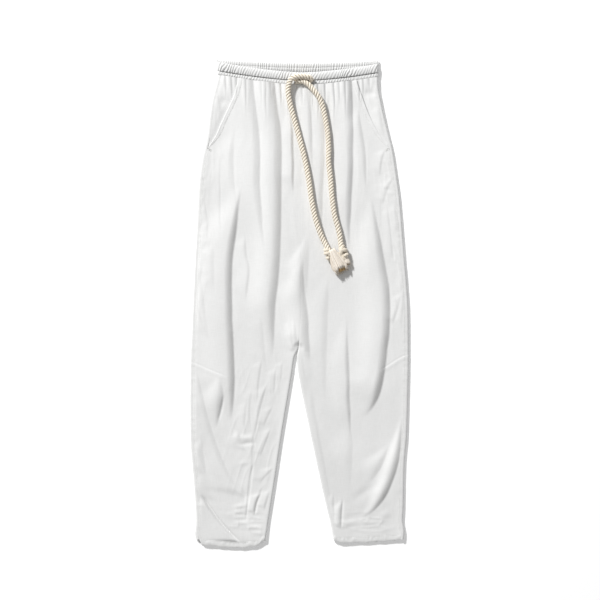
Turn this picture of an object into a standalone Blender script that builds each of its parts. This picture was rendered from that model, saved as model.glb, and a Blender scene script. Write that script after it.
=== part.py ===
# Drawstring linen trousers, laid flat on their back with the front up.
# The waist points to +Y, the hems to -Y and +X is the wearer's left. The floor is z = 0.
# Every size below is in millimetres. Meshes are written in metres.
import math
from collections import namedtuple

import bmesh
import bpy
from mathutils import Vector

MM = 0.001

# Cloth and rope
CLOTH = 1.2
HEM_CLOTH = 2.0
SEAM_GAP = 0.4
LIE_GAP = 0.4
ROPE_D = 11.0

# Heights of the outer skin of the front above the floor
LEG_HIGH = 4.9
WAIST_HIGH = 7.0
EDGE_HIGH = 6.4
CLOTH_TOP = 11.5
RIM_SPLIT = 3.5
RIM_ROUND = 3.2
SIDE_SEAM_IN = 6.5

# Lines across the waist: (height at the middle, rise at the sides)
WAIST_MIDDLE_X = 8.0
WAIST_HALF = 163.0
FRONT_CASING_TOP = (462.0, 19.5)
FRONT_CASING_LOW = (445.6, 18.0)
FRONT_HEADER_TOP = (445.2, 18.0)
FRONT_HEADER_LOW = (437.0, 18.5)
BACK_CASING_TOP = (481.0, 5.9)
BACK_CASING_LOW = (462.0, 8.0)
BACK_HEADER_TOP = (461.6, 8.0)
BACK_HEADER_LOW = (452.0, 5.0)
WAIST_RIGHT_END = -164.0
WAIST_LEFT_END = 158.0
WAVES = 88
WAVE_DEEP = 0.5

CROTCH = (-2.0, -89.0)
CROTCH_SPREAD = 0.45
HEM_BAND = 13.0
VENT_CUT = 5.0
POCKET_EDGE_WIDE = 9.0
POCKET_TUCK = 12.0
FACING_DROP = 2.0
FACING_SHARES = (1.0, 0.66, 0.33, 0.0, -0.4, -1.0)

Place = namedtuple("Place", "y x")

# Edges of the wearer's right leg (-X), from the waist to the hem
RIGHT_OUTER = [
    Place(460, -160), Place(423, -170.5), Place(383, -178.5), Place(335, -184.5), Place(287, -194.5),
    Place(239, -200.5), Place(143, -205.5), Place(47, -210.5), Place(-49, -214.5), Place(-121, -217.9),
    Place(-265, -217.9), Place(-313, -214.5), Place(-361, -210.5), Place(-409, -207), Place(-435, -206.5),
    Place(-457, -208.5), Place(-470, -207)]
RIGHT_INNER = [
    Place(460, 2), Place(200, 4), Place(-20, 3), Place(-70, -0.5), Place(-89, -2.2), Place(-106, -9.5),
    Place(-135, -14), Place(-169, -19.5), Place(-265, -35.5), Place(-361, -50), Place(-433, -61.5),
    Place(-488, -69.5)]
# Edges of the wearer's left leg (+X)
LEFT_OUTER = [
    Place(460, 157), Place(427, 158.5), Place(407, 162.5), Place(383, 167.5), Place(335, 179.5),
    Place(307, 186.5), Place(263, 193.5), Place(207, 201), Place(107, 209), Place(7, 217), Place(-73, 218.5),
    Place(-121, 218.5), Place(-193, 217), Place(-265, 214.7), Place(-313, 210.5), Place(-409, 208.2),
    Place(-433, 207), Place(-455, 210), Place(-475, 208)]
LEFT_INNER = [
    Place(460, 2), Place(200, 4), Place(-20, 3), Place(-70, -0.5), Place(-89, -1.8), Place(-106, -4.8),
    Place(-135, -2.5), Place(-169, 3.5), Place(-265, 23.5), Place(-361, 44), Place(-409, 55), Place(-433, 61),
    Place(-478, 69.5)]
# Slanted pocket mouths, from the waist down to the side seam
RIGHT_MOUTH = [
    Place(460, -121), Place(439, -123), Place(415, -130), Place(391, -141), Place(362, -155), Place(335, -167),
    Place(308, -183.6)]
LEFT_MOUTH = [
    Place(460, 112), Place(439, 116), Place(412, 126), Place(385, 136), Place(352, 151.5), Place(328, 166),
    Place(308, 179.6)]
# Hem edges: (share of the width from the outer edge, height)
RIGHT_HEM = [(0.0, -470.0), (0.06, -481.0), (0.3, -484.5), (0.68, -487.5), (0.93, -482.0), (1.0, -474.0)]
LEFT_HEM = [(0.0, -470.0), (0.08, -472.5), (0.5, -476.0), (0.93, -477.5), (1.0, -474.0)]

# Main folds. Each runs from "top" to "end" through four places evenly spaced in height. The cloth rises
# "high" on its left over the width "steep", sinks away further left over "soft", and has a low lip on
# its right. It fades over "fade_top" and "fade_end".
Fold = namedtuple("Fold", "top end x1 x2 x3 x4 high steep soft lip fade_top fade_end")
FOLDS = [
    Fold(441, 60, -90, -78.5, -74.5, -69, 3.6, 13, 22, 1.0, 0, 120),
    Fold(437, -97, -48, -35.5, -40, -44, 4.0, 15, 22, 1.0, 0, 120),
    Fold(407, 223, -20, -14.5, -13, -12, 2.2, 6, 12, 0.8, 60, 10),
    Fold(367, 205, -128, -130.5, -122, -113, 2.2, 12, 22, 0.8, 60, 60),
    Fold(240, -233, -110, -128, -128.5, -136, 4.4, 16, 24, 0.9, 90, 50),
    Fold(-157, -247, -148, -150, -153, -160, 3.0, 9, 14, 0.6, 40, 15),
    Fold(-193, -379, -190, -167, -153, -118, 2.4, 12, 20, 0.8, 50, 40),
    Fold(-391, -470, -186, -163, -142, -124, 2.2, 9, 14, 0.8, 15, 15),
    Fold(150, -60, -188, -189, -189, -174, 1.2, 8, 12, 0.5, 60, 60),
    Fold(439, 127, 106, 104, 104, 104, 3.2, 10, 18, 1.0, 0, 90),
    Fold(407, 207, 120, 127, 134.5, 138, 1.5, 7, 12, 0.5, 30, 50),
    Fold(407, 287, 22, 26.5, 28, 22, 1.6, 9, 14, 0.7, 40, 40),
    Fold(431, 107, 42, 49, 47.5, 42, 2.4, 11, 18, 0.8, 10, 90),
    Fold(277, -123, 20, 18, 18, 24, 2.6, 10, 18, 0.8, 60, 20),
    Fold(215, -60, 161, 176, 183, 183, 4.2, 13, 18, 0.8, 120, 50),
    Fold(-10, -225, 184, 181.5, 172, 130, 4.6, 14, 16, 0.8, 50, 25),
    Fold(20, -273, 97, 100.5, 102, 104, 2.4, 9, 18, 0.7, 120, 60),
    Fold(-290, -426, 200, 195.5, 181, 132, 3.8, 12, 14, 0.8, 50, 25)]

# Short gathers under the band: (place along the waist, length)
GATHERS = [
    (-146, 30), (-134, 28), (-124, 26), (-106, 34), (-75, 24), (-66, 48), (-57, 20), (-36, 22), (-22, 26),
    (26, 24), (38, 32), (52, 26), (70, 44), (80, 22), (92, 46), (120, 26), (128, 22), (140, 20)]

# Rope routes seen from above, from the exit to the knot
Step = namedtuple("Step", "x y")
ROUTE_A = [
    Step(27, 443.5), Step(23, 449.5), Step(14, 453), Step(2, 454), Step(-9, 453), Step(-18, 448), Step(-23, 439),
    Step(-24.5, 428), Step(-24, 415), Step(-19, 399), Step(-14, 381), Step(-4, 345), Step(6, 308),
    Step(13, 278), Step(19, 246), Step(24, 210), Step(30, 179), Step(37, 154), Step(45, 133),
    Step(53, 117)]
ROUTE_B = [
    Step(-8, 440.5), Step(0, 441), Step(10, 439), Step(19, 433.5), Step(27, 425.5), Step(36, 415), Step(43, 403),
    Step(48, 387), Step(52, 367), Step(56.5, 340), Step(58.5, 310), Step(58.5, 282), Step(62, 252),
    Step(65, 215), Step(70, 178), Step(77, 152), Step(81, 134), Step(83, 118)]

Knot = namedtuple("Knot", "x y lean_x lean_y half wide")
KNOT_A = Knot(64.5, 94.5, 0.447, -0.894, 15.0, 10.5)
KNOT_B = Knot(87.5, 93.5, 0.206, -0.979, 16.0, 10.5)
KNOT_FLAT = 0.9
LOCKS_LONG = 15.0

LINEN_COLOUR = (0.86, 0.86, 0.85, 1.0)
ROPE_COLOUR = (0.80, 0.74, 0.60, 1.0)


# Reading the tables

def smooth(t):
    t = min(1.0, max(0.0, t))
    return t * t * (3.0 - 2.0 * t)


def read(table, at):
    """A cubic through the rows of a two-column table whose first column falls."""
    last = len(table) - 1
    if at >= table[0][0]:
        return table[0][1]
    if at <= table[last][0]:
        return table[last][1]
    row = 0
    while at < table[row + 1][0]:
        row += 1

    def slope(k):
        before, after = max(0, k - 1), min(last, k + 1)
        return (table[after][1] - table[before][1]) / (table[after][0] - table[before][0])

    span = table[row + 1][0] - table[row][0]
    t = (at - table[row][0]) / span
    return (table[row][1] * (1 + 2 * t) * (1 - t) ** 2 + span * slope(row) * t * (1 - t) ** 2
            + table[row + 1][1] * t * t * (3 - 2 * t) + span * slope(row + 1) * t * t * (t - 1))


def waist_line(line, x):
    middle, rise = line
    return middle + rise * (abs(x - WAIST_MIDDLE_X) / WAIST_HALF) ** 1.6


SIDES = {
    "r": {"sign": -1.0, "outer": RIGHT_OUTER, "inner": RIGHT_INNER, "mouth": RIGHT_MOUTH, "hem": RIGHT_HEM},
    "l": {"sign": 1.0, "outer": LEFT_OUTER, "inner": LEFT_INNER, "mouth": LEFT_MOUTH, "hem": LEFT_HEM}}


def outer_x(side, y):
    return read(SIDES[side]["outer"], y)


def inner_x(side, y):
    """The centre seam above the crotch and the inseam below it."""
    return read(SIDES[side]["inner"], y) + SIDES[side]["sign"] * SEAM_GAP / 2


def seam_x(side, y):
    """The side seam, which is rolled a little to the front."""
    return outer_x(side, y) - SIDES[side]["sign"] * SIDE_SEAM_IN


def hem_y(side, share):
    return read([(-u, y) for u, y in SIDES[side]["hem"]], -share)


# Height of the cloth

def fold_height(fold, x, y):
    if not fold.end < y < fold.top:
        return 0.0
    t = 3.0 * (fold.top - y) / (fold.top - fold.end)
    weights = (
        (1 - t) * (2 - t) * (3 - t) / 6, t * (2 - t) * (3 - t) / 2,
        t * (t - 1) * (3 - t) / 2, t * (t - 1) * (t - 2) / 6)
    places = (fold.x1, fold.x2, fold.x3, fold.x4)
    path = sum(w * p for w, p in zip(weights, places))
    lean = (places[min(3, int(t) + 1)] - places[int(t)]) / ((fold.top - fold.end) / 3)
    across = (x - path) / math.hypot(1.0, lean)
    fade = 1.0
    if fold.fade_top:
        fade *= smooth((fold.top - y) / fold.fade_top)
    if fold.fade_end:
        fade *= smooth((y - fold.end) / fold.fade_end)
    if across < -fold.steep:
        return fade * fold.high * math.exp(-((-across - fold.steep) / fold.soft) ** 2)
    if across < 0:
        return fade * fold.high * (1 - (1 + across / fold.steep) ** 2)
    if across < fold.steep:
        return fade * fold.lip * (1 - (1 - across / fold.steep) ** 2)
    return fade * fold.lip * math.exp(-((across - fold.steep) / fold.soft) ** 2)


GATHER_FOLDS = [
    Fold(waist_line(FRONT_HEADER_LOW, x) + 2, waist_line(FRONT_HEADER_LOW, x) - length, x, x, x, x,
         1.3, 5.0, 4.0, 0.9, 0, length * 0.8) for x, length in GATHERS]


def front_height(side, x, y):
    """Outer skin of the front, before it rounds down at an edge."""
    to_outer = abs(x - outer_x(side, y))
    if y < CROTCH[1]:
        to_inner = abs(x - inner_x(side, y))
    else:
        to_inner = math.hypot(x - CROTCH[0], y - CROTCH[1])
    near = min(to_outer, to_inner)
    height = LEG_HIGH + (WAIST_HIGH - LEG_HIGH) * smooth((y - 320) / 110)
    height += (EDGE_HIGH - height) * math.exp(-near / 14.0)
    folds = sum(fold_height(fold, x, y) for fold in FOLDS)
    folds += sum(fold_height(fold, x, y) for fold in GATHER_FOLDS)
    folds *= smooth((near - 2.0) / 12.0)
    limit = CLOTH_TOP - height
    return height + limit * math.tanh(folds / limit)


# Meshes

def to_metres(point):
    return Vector(point) * MM


def finish(name, mesh, material, collection):
    obj = bpy.data.objects.new(name, mesh)
    obj.data.materials.append(material)
    for polygon in mesh.polygons:
        polygon.use_smooth = True
    collection.objects.link(obj)
    return obj


def grid_sheet(name, rows, thickness, up, material, collection):
    """An open sheet through rows of points, thickened away from its outer skin."""
    count = len(rows[0])
    points = [to_metres(point) for row in rows for point in row]
    faces = []
    for i in range(len(rows) - 1):
        for j in range(count - 1):
            a = i * count + j
            faces.append((a, a + 1, a + count + 1, a + count))
    mesh = bpy.data.meshes.new(name)
    mesh.from_pydata(points, [], faces)
    mesh.update()
    if (sum(face.normal.z * face.area for face in mesh.polygons) > 0) != up:
        mesh.flip_normals()
    obj = finish(name, mesh, material, collection)
    wall = obj.modifiers.new("wall", "SOLIDIFY")
    wall.thickness = thickness * MM
    wall.offset = -1.0
    wall.use_even_offset = False
    return obj


def ring_solid(name, rings, material, collection):
    """A closed solid through a run of rings of points, capped at both ends."""
    body = bmesh.new()
    loops = [[body.verts.new(to_metres(point)) for point in ring] for ring in rings]
    count = len(rings[0])
    for here, there in zip(loops, loops[1:]):
        for j in range(count):
            body.faces.new((here[j], here[(j + 1) % count], there[(j + 1) % count], there[j]))
    body.faces.new(loops[0][::-1])
    body.faces.new(loops[-1])
    if body.calc_volume(signed=True) < 0:
        bmesh.ops.reverse_faces(body, faces=body.faces)
    mesh = bpy.data.meshes.new(name)
    body.to_mesh(mesh)
    body.free()
    return finish(name, mesh, material, collection)


# Panels

ROWS = [
    437, 424, 408, 388, 362, 335, 308, 275, 240, 200, 155, 110, 60, 10, -40, -70, -89, -106, -135, -172,
    -210, -250, -290, -330, -370, -410, -438, -462]
MOUTH_ROW = 308
FRONT_COLUMNS = 24
RIM_STEPS = ((0.0, 0.0), (0.0, 0.42), (0.5, 0.9))
RIM_FLAT = (0.0, 1.2, 3.0)


def row_height(side, share, x, row, waist):
    """Height on the photo of a row of points, bent to the waist line and to the hem."""
    hem_line = hem_y(side, share) + HEM_BAND + SEAM_GAP
    return (row + (waist_line(waist, x) - waist[0]) * smooth((row - 335) / (ROWS[0] - 335))
            + (hem_line - ROWS[-1]) * smooth((-380 - row) / (-380 - ROWS[-1])))


def settle(side, row, share, waist, left_edge, right_edge):
    """The point at a share of the way between two edges on a row."""
    x, y = 0.0, row
    for turn in range(5):
        a, b = left_edge(y), right_edge(y)
        x = a + (b - a) * share
        y = row_height(side, share, x, row, waist)
    return x, y


def rim_amount(y):
    """Above the crotch the two legs are one, below it each has an inner edge."""
    return smooth((CROTCH[1] + 19.0 - y) / 19.0)


def rim_point(side, step, y, top, base):
    """A point on the inner edge: level above the crotch, rounded towards base below it."""
    inward, up = RIM_STEPS[step]
    spread = CROTCH_SPREAD * math.exp(-((y - CROTCH[1]) / 22.0) ** 2)
    base += spread if top > base else -spread
    amount = rim_amount(y)
    away = RIM_FLAT[step] * (1 - amount) + inward * RIM_ROUND * amount
    x = inner_x(side, y) + SIDES[side]["sign"] * away
    z = top * (1 - amount) + (base + (top - base) * up) * amount
    return (x, y, z)


def front_outer(side, row, y):
    """Outer edge of a front panel: the pocket mouth, then the side seam."""
    sign = SIDES[side]["sign"]
    if row >= MOUTH_ROW:
        return read(SIDES[side]["mouth"], y)
    return seam_x(side, y) - sign * SEAM_GAP / 2


def front_row(side, row, lower=0.0):
    """One row of a front panel, from its outer edge to its inner edge, moved down by lower."""
    points = []
    sign = SIDES[side]["sign"]

    def far(y):
        return front_outer(side, row, y)

    def near(y):
        return inner_x(side, y) + sign * 5.0

    for column in range(FRONT_COLUMNS):
        share = column / (FRONT_COLUMNS - 1)
        x, y = settle(side, row, share, FRONT_HEADER_LOW, far, near)
        y -= lower
        x = far(y) + (near(y) - far(y)) * share
        points.append((x, y, front_height(side, x, y)))
    last_y = points[-1][1]
    for step in (2, 1, 0):
        top = front_height(side, inner_x(side, last_y) + sign * 3.0, last_y)
        points.append(rim_point(side, step, last_y, top, RIM_SPLIT))
    return points


def lower_top(rows, drop):
    """Leave a seam gap below the band."""
    rows[0] = [(x, y - drop, z) for x, y, z in rows[0]]
    return rows


def front_panel(side, material, collection):
    rows = lower_top([front_row(side, row) for row in ROWS], SEAM_GAP)
    grid_sheet("front_panel_" + side, rows, CLOTH, True, material, collection)


BACK_FLAT = 4
WRAP_ANGLES = (-90, -45, 0, 45, 90)


def back_row(side, row, lower=0.0):
    """One row of a back panel: inner edge, flat underside, round the outer edge to the side seam."""
    sign = SIDES[side]["sign"]

    def far(y):
        return outer_x(side, y) - sign * RIM_ROUND

    def near(y):
        return inner_x(side, y) + sign * 5.0

    flats = []
    for column in range(BACK_FLAT):
        share = column / (BACK_FLAT - 1)
        x, y = settle(side, row, 1 - share, BACK_HEADER_LOW, far, near)
        if row > 400:
            y += (BACK_HEADER_LOW[0] - ROWS[0]) * smooth((row - 400) / (ROWS[0] - 400))
        y -= lower
        x = near(y) + (far(y) - near(y)) * share
        flats.append((x, y, 0.0))
    first_y = flats[0][1]
    points = [rim_point(side, step, first_y, 0.0, RIM_SPLIT - SEAM_GAP) for step in (0, 1, 2)]
    points += flats
    y = settle(side, row, 0.0, FRONT_HEADER_LOW, lambda y: seam_x(side, y), near)[1] - lower
    seam = seam_x(side, y) + sign * SEAM_GAP / 2
    top = front_height(side, seam, y)
    for degrees in WRAP_ANGLES[1:]:
        angle = math.radians(degrees)
        x = outer_x(side, y) - sign * RIM_ROUND * (1 - math.cos(angle))
        points.append((x, y, top / 2 * (1 + math.sin(angle))))
    points.append((seam, y, top))
    return points


def back_panel(side, material, collection):
    rows = lower_top([back_row(side, row) for row in ROWS], SEAM_GAP)
    grid_sheet("back_panel_" + side, rows, CLOTH, False, material, collection)


def hems(side, material, collection):
    """The turned hems carry on the panels' own surfaces in thicker cloth."""
    sign = SIDES[side]["sign"]
    front_rows = [front_row(side, ROWS[-1], lower) for lower in (SEAM_GAP, SEAM_GAP + HEM_BAND)]
    back_rows = [back_row(side, ROWS[-1], lower) for lower in (SEAM_GAP, SEAM_GAP + HEM_BAND)]
    for column in range(3):
        x, y, z = front_rows[1][column]
        front_rows[1][column] = (x - sign * VENT_CUT * (1 - column / 3), y, z)
    grid_sheet("hem_front_" + side, front_rows, HEM_CLOTH, True, material, collection)
    grid_sheet("hem_back_" + side, back_rows, HEM_CLOTH, False, material, collection)


# Pockets

def pocket_facing(side, material, collection):
    """Hip piece inside the pocket mouth. It slips under the front panel past the mouth."""
    sign = SIDES[side]["sign"]
    rows = []
    for row in [r for r in ROWS if r > MOUTH_ROW] + [MOUTH_ROW + 2]:
        points = []

        def far(y):
            return seam_x(side, y) - sign * SEAM_GAP / 2

        def mouth(y):
            return read(SIDES[side]["mouth"], y)

        for share in FACING_SHARES:
            x, y = settle(side, row, max(0.0, share), FRONT_HEADER_LOW, mouth, far)
            tuck = POCKET_TUCK * smooth((y - MOUTH_ROW) / 40 + 0.25)
            x = mouth(y) + (far(y) - mouth(y)) * share if share > 0 else mouth(y) + sign * share * tuck
            drop = FACING_DROP * (1 - smooth(sign * (x - mouth(y)) / 11.0)) - 0.5 * min(0.0, share)
            points.append((x, y, front_height(side, x, y) - drop))
        rows.append(points)
    rows[0] = [(x, waist_line(FRONT_HEADER_LOW, x) - SEAM_GAP, z) for x, y, z in rows[0]]
    grid_sheet("pocket_facing_" + side, rows, CLOTH, True, material, collection)


def pocket_edge(side, material, collection):
    """The turned edge of the mouth, raised on the front panel."""
    sign = SIDES[side]["sign"]
    rows = []
    for row in [r for r in ROWS if r >= MOUTH_ROW]:
        points = []
        for share in (0.0, 0.5, 1.0):
            x, y = settle(side, row, 0.0, FRONT_HEADER_LOW, lambda y: read(SIDES[side]["mouth"], y),
                          lambda y: inner_x(side, y))
            wide = 2.0 + (POCKET_EDGE_WIDE - 2.0) * smooth((y - 306) / 40)
            x -= sign * (0.3 + wide * share)
            if row == ROWS[0]:
                y = waist_line(FRONT_HEADER_LOW, x) - SEAM_GAP
            if row == MOUTH_ROW:
                y += 2.0
            points.append((x, y, front_height(side, x, y) + LIE_GAP + 1.0))
        rows.append(points)
    grid_sheet("pocket_edge_" + side, rows, 1.0, True, material, collection)


# Waist

def end_round(x, reach):
    """0 at an end of the band, 1 further in than the reach."""
    away = min(x - WAIST_RIGHT_END, WAIST_LEFT_END - x) / reach
    return math.sqrt(max(0.0, 1 - (1 - min(1.0, max(0.0, away))) ** 2))


def band(name, low_line, top_line, section, columns, waves, material, collection):
    """A strip across the waist. Section gives each ring's (share of the height, z, wave) corners."""
    rings = []
    for column in range(columns + 1):
        x = WAIST_RIGHT_END + (WAIST_LEFT_END - WAIST_RIGHT_END) * column / columns
        low, top = waist_line(low_line, x), waist_line(top_line, x)
        wave = WAVE_DEEP * (1 if column % 2 else -1) if waves else 0.0
        ring = []
        for share, z, puff in section(x):
            ring.append((x, low + (top - low) * share, z + puff * wave))
        rings.append(ring)
    return ring_solid(name, rings, material, collection)


def front_casing(x):
    r = end_round(x, 7.0)
    base, top = 5.1, 5.4 + 5.2 * r
    return ((0.04, base, 0), (0.0, base + (top - base) * 0.55, 0.3), (0.5, top, 1),
            (1.0, base + (top - base) * 0.55, 0.6), (0.96, base, 0))


def back_casing(x):
    r = end_round(x, 7.0)
    base, top = 4.2 * (1 - r), 4.6
    return ((0.04, base, 0), (0.0, top - (top - base) * 0.35, 0), (0.5, top - 0.1, 0.5),
            (1.0, top - (top - base) * 0.35, 0.3), (0.96, base, 0))


def front_header(x):
    r = end_round(x, 6.0)
    base, top = 5.2, 5.6 + 2.9 * r
    return ((0.0, base, 0), (0.0, base + (top - base) * 0.7, 0), (0.5, top, 0),
            (1.0, base + (top - base) * 0.7, 0), (1.0, base, 0))


def back_header(x):
    r = end_round(x, 6.0)
    base, top = 3.2 * (1 - r), 2.2 + 2.4 * (1 - r)
    return ((0.0, base, 0), (0.0, top, 0), (1.0, top, 0), (1.0, base, 0))


def waist(material, collection):
    band("waistband_front", FRONT_CASING_LOW, FRONT_CASING_TOP, front_casing, 2 * WAVES, True, material,
         collection)
    band("waistband_back", BACK_CASING_LOW, BACK_CASING_TOP, back_casing, 2 * WAVES, True, material,
         collection)
    band("waist_header_front", FRONT_HEADER_LOW, FRONT_HEADER_TOP, front_header, 56, False, material,
         collection)
    band("waist_header_back", BACK_HEADER_LOW, BACK_HEADER_TOP, back_header, 28, False, material,
         collection)


# Drawcord

def surface_under(x, y):
    """Highest cloth at a place on the front, the bands at the waist included."""
    if y > waist_line(FRONT_CASING_TOP, x):
        return 5.2
    if y > waist_line(FRONT_CASING_LOW, x) - 0.5:
        return 5.4 + 5.2 + WAVE_DEEP
    if y > waist_line(FRONT_HEADER_LOW, x) - 0.5:
        return 8.6
    side = "r" if x < read(RIGHT_INNER, y) else "l"
    return front_height(side, x, y)


def lying_height(x, y, radius):
    """Height of the middle of a round rope that just lies on the cloth."""
    high = 0.0
    for ring in range(4):
        reach = radius * ring / 3.2
        for turn in range(8):
            angle = math.tau * turn / 8
            cloth = surface_under(x + reach * math.cos(angle), y + reach * math.sin(angle))
            high = max(high, cloth + math.sqrt(radius * radius - reach * reach))
    return high + LIE_GAP


def curve_through(points):
    """A smooth curve through hand-chosen places, with a point halfway along each long stretch."""
    line = []
    for i in range(len(points) - 1):
        p0, p1 = Vector(points[max(0, i - 1)]), Vector(points[i])
        p2, p3 = Vector(points[i + 1]), Vector(points[min(len(points) - 1, i + 2)])
        steps = 2 if (p2 - p1).length > 1.4 * ROPE_D else 1
        for k in range(steps):
            t = k / steps
            line.append(0.5 * (2 * p1 + (p2 - p0) * t + (2 * p0 - 5 * p1 + 4 * p2 - p3) * t * t
                               + (3 * p1 - 3 * p2 + p3 - p0) * t ** 3))
    line.append(Vector(points[-1]))
    return line


def rope_line(route, knot):
    """The rope's middle line: the route, laid on the cloth and eased."""
    radius = ROPE_D / 2
    middle = knot_middle(knot)
    entry = middle - Vector((knot.lean_x, knot.lean_y, 0.0)) * (knot.half + LIE_GAP)
    flat = curve_through([(step.x, step.y, 0.0) for step in route] + [(entry.x, entry.y, 0.0)])
    heights = []
    for i, here in enumerate(flat):
        near = [here, (here + flat[max(0, i - 1)]) / 2, (here + flat[min(len(flat) - 1, i + 1)]) / 2]
        heights.append(max(lying_height(p.x, p.y, radius) for p in near))
    for turn in range(3):
        eased = heights[:]
        for i in range(1, len(heights) - 1):
            eased[i] = max(heights[i], (heights[i - 1] + heights[i + 1]) / 2)
        heights = eased
    heights[-2] = max(heights[-2], (heights[-3] + middle.z) / 2)
    heights[-1] = middle.z
    return [(p.x, p.y, z) for p, z in zip(flat, heights)]


def rope(name, route, knot, material, collection):
    line = rope_line(route, knot)
    curve = bpy.data.curves.new(name, "CURVE")
    curve.dimensions = "3D"
    curve.bevel_depth = ROPE_D / 2 * MM
    curve.bevel_resolution = 2
    curve.use_fill_caps = True
    spline = curve.splines.new("POLY")
    spline.points.add(len(line) - 1)
    for point, place in zip(spline.points, line):
        point.co = (*to_metres(place), 1.0)
    obj = bpy.data.objects.new(name, curve)
    curve.materials.append(material)
    collection.objects.link(obj)
    return obj


def knot_point(knot, unit):
    """A place on the knot, from its middle, for a place on a ball of radius 1."""
    lean = Vector((knot.lean_x, knot.lean_y, 0.0))
    side = Vector((knot.lean_y, -knot.lean_x, 0.0))
    turn = math.atan2(unit[1], unit[0])
    ridge = 1.0 - 0.07 * (1 - math.cos(2 * turn + 2.6 * unit[2])) * (1 - unit[2] ** 2)
    wide = knot.wide * ridge
    return side * unit[0] * wide - lean * unit[2] * knot.half + Vector((0, 0, unit[1] * wide * KNOT_FLAT))


def knot_height(knot):
    """Height of the knot's middle when it just lies on the cloth."""
    high = 0.0
    for ring in range(-4, 5):
        level = ring / 5
        for turn in range(12):
            angle = math.tau * turn / 12
            flat = math.sqrt(1 - level * level)
            place = knot_point(knot, (flat * math.cos(angle), flat * math.sin(angle), level))
            high = max(high, surface_under(knot.x + place.x, knot.y + place.y) - place.z)
    return high + LIE_GAP


def knot_middle(knot):
    return Vector((knot.x, knot.y, knot_height(knot)))


def end_knot(name, knot, material, collection):
    """A rounded lump with the ridges of a rope crossing over itself."""
    bpy.ops.mesh.primitive_uv_sphere_add(segments=14, ring_count=9, radius=1.0)
    obj = bpy.context.object
    obj.name = name
    obj.data.name = name
    collection_of(obj, collection)
    middle = knot_middle(knot)
    for vertex in obj.data.vertices:
        vertex.co = (middle + knot_point(knot, vertex.co)) * MM
    obj.data.materials.append(material)
    for polygon in obj.data.polygons:
        polygon.use_smooth = True
    return obj


def collection_of(obj, collection):
    for old in list(obj.users_collection):
        old.objects.unlink(obj)
    collection.objects.link(obj)


def tassel(name, knot, bend, material, collection):
    """A flat button of cord with its opened locks growing out of the far face."""
    lean = Vector((knot.lean_x, knot.lean_y, 0.0))
    side = Vector((knot.lean_y, -knot.lean_x, 0.0))
    up = Vector((0, 0, 1))
    start = knot_middle(knot) + lean * (knot.half + LIE_GAP)
    body = bmesh.new()
    bmesh.ops.create_grid(body, x_segments=4, y_segments=4, size=1.0)
    for vertex in body.verts:
        long = max(abs(vertex.co.x), abs(vertex.co.y))
        round_off = long / max(1e-6, math.hypot(vertex.co.x, vertex.co.y)) if long else 1.0
        flat = vertex.co * round_off * 5.2
        vertex.co = start + side * flat.x + up * flat.y * 0.9 + lean * 3.0
    back = bmesh.ops.extrude_face_region(body, geom=body.faces[:])
    for vertex in [item for item in back["geom"] if isinstance(item, bmesh.types.BMVert)]:
        vertex.co -= lean * 3.0
    body.faces.ensure_lookup_table()
    body.normal_update()
    roots = [face for face in body.faces
             if (face.calc_center_median() - start).dot(lean) > 2.9]
    bmesh.ops.inset_individual(body, faces=roots, thickness=0.28, depth=0.0)
    locks = bmesh.ops.extrude_discrete_faces(body, faces=roots)["faces"]
    middle = start + lean * 3.0
    for stage, share in enumerate((0.5, 0.5)):
        for number, face in enumerate(locks):
            away = face.calc_center_median() - middle
            away -= lean * away.dot(lean)
            uneven = 1.0 + 0.22 * math.sin(number * 2.4 + knot.x)
            shift = (lean + side * bend) * LOCKS_LONG * share * uneven + away * (0.16 + 0.1 * stage)
            shift -= up * (0.6 + 1.2 * stage)
            for vertex in face.verts:
                vertex.co += shift
        if stage == 0:
            locks = bmesh.ops.extrude_discrete_faces(body, faces=locks)["faces"]
    for face in locks:
        centre = face.calc_center_median()
        for vertex in face.verts:
            vertex.co = centre + (vertex.co - centre) * 0.6
    for vertex in body.verts:
        vertex.co *= MM
    bmesh.ops.recalc_face_normals(body, faces=body.faces)
    mesh = bpy.data.meshes.new(name)
    body.to_mesh(mesh)
    body.free()
    return finish(name, mesh, material, collection)


# Materials and assembly

def cloth_material(name, colour, roughness):
    material = bpy.data.materials.new(name)
    material.use_nodes = True
    shader = material.node_tree.nodes["Principled BSDF"]
    shader.inputs["Base Color"].default_value = colour
    shader.inputs["Roughness"].default_value = roughness
    shader.inputs["Metallic"].default_value = 0.0
    return material


def main():
    for obj in list(bpy.data.objects):
        bpy.data.objects.remove(obj, do_unlink=True)
    collection = bpy.data.collections.new("trousers")
    bpy.context.scene.collection.children.link(collection)
    linen = cloth_material("linen", LINEN_COLOUR, 0.85)
    cord = cloth_material("rope", ROPE_COLOUR, 0.9)
    for side in ("r", "l"):
        front_panel(side, linen, collection)
        back_panel(side, linen, collection)
        hems(side, linen, collection)
        pocket_facing(side, linen, collection)
        pocket_edge(side, linen, collection)
    waist(linen, collection)
    rope("rope_a", ROUTE_A, KNOT_A, cord, collection)
    rope("rope_b", ROUTE_B, KNOT_B, cord, collection)
    end_knot("end_knot_a", KNOT_A, cord, collection)
    end_knot("end_knot_b", KNOT_B, cord, collection)
    tassel("tassel_a", KNOT_A, 0.12, cord, collection)
    tassel("tassel_b", KNOT_B, -0.1, cord, collection)


main()
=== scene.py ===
import math

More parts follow.
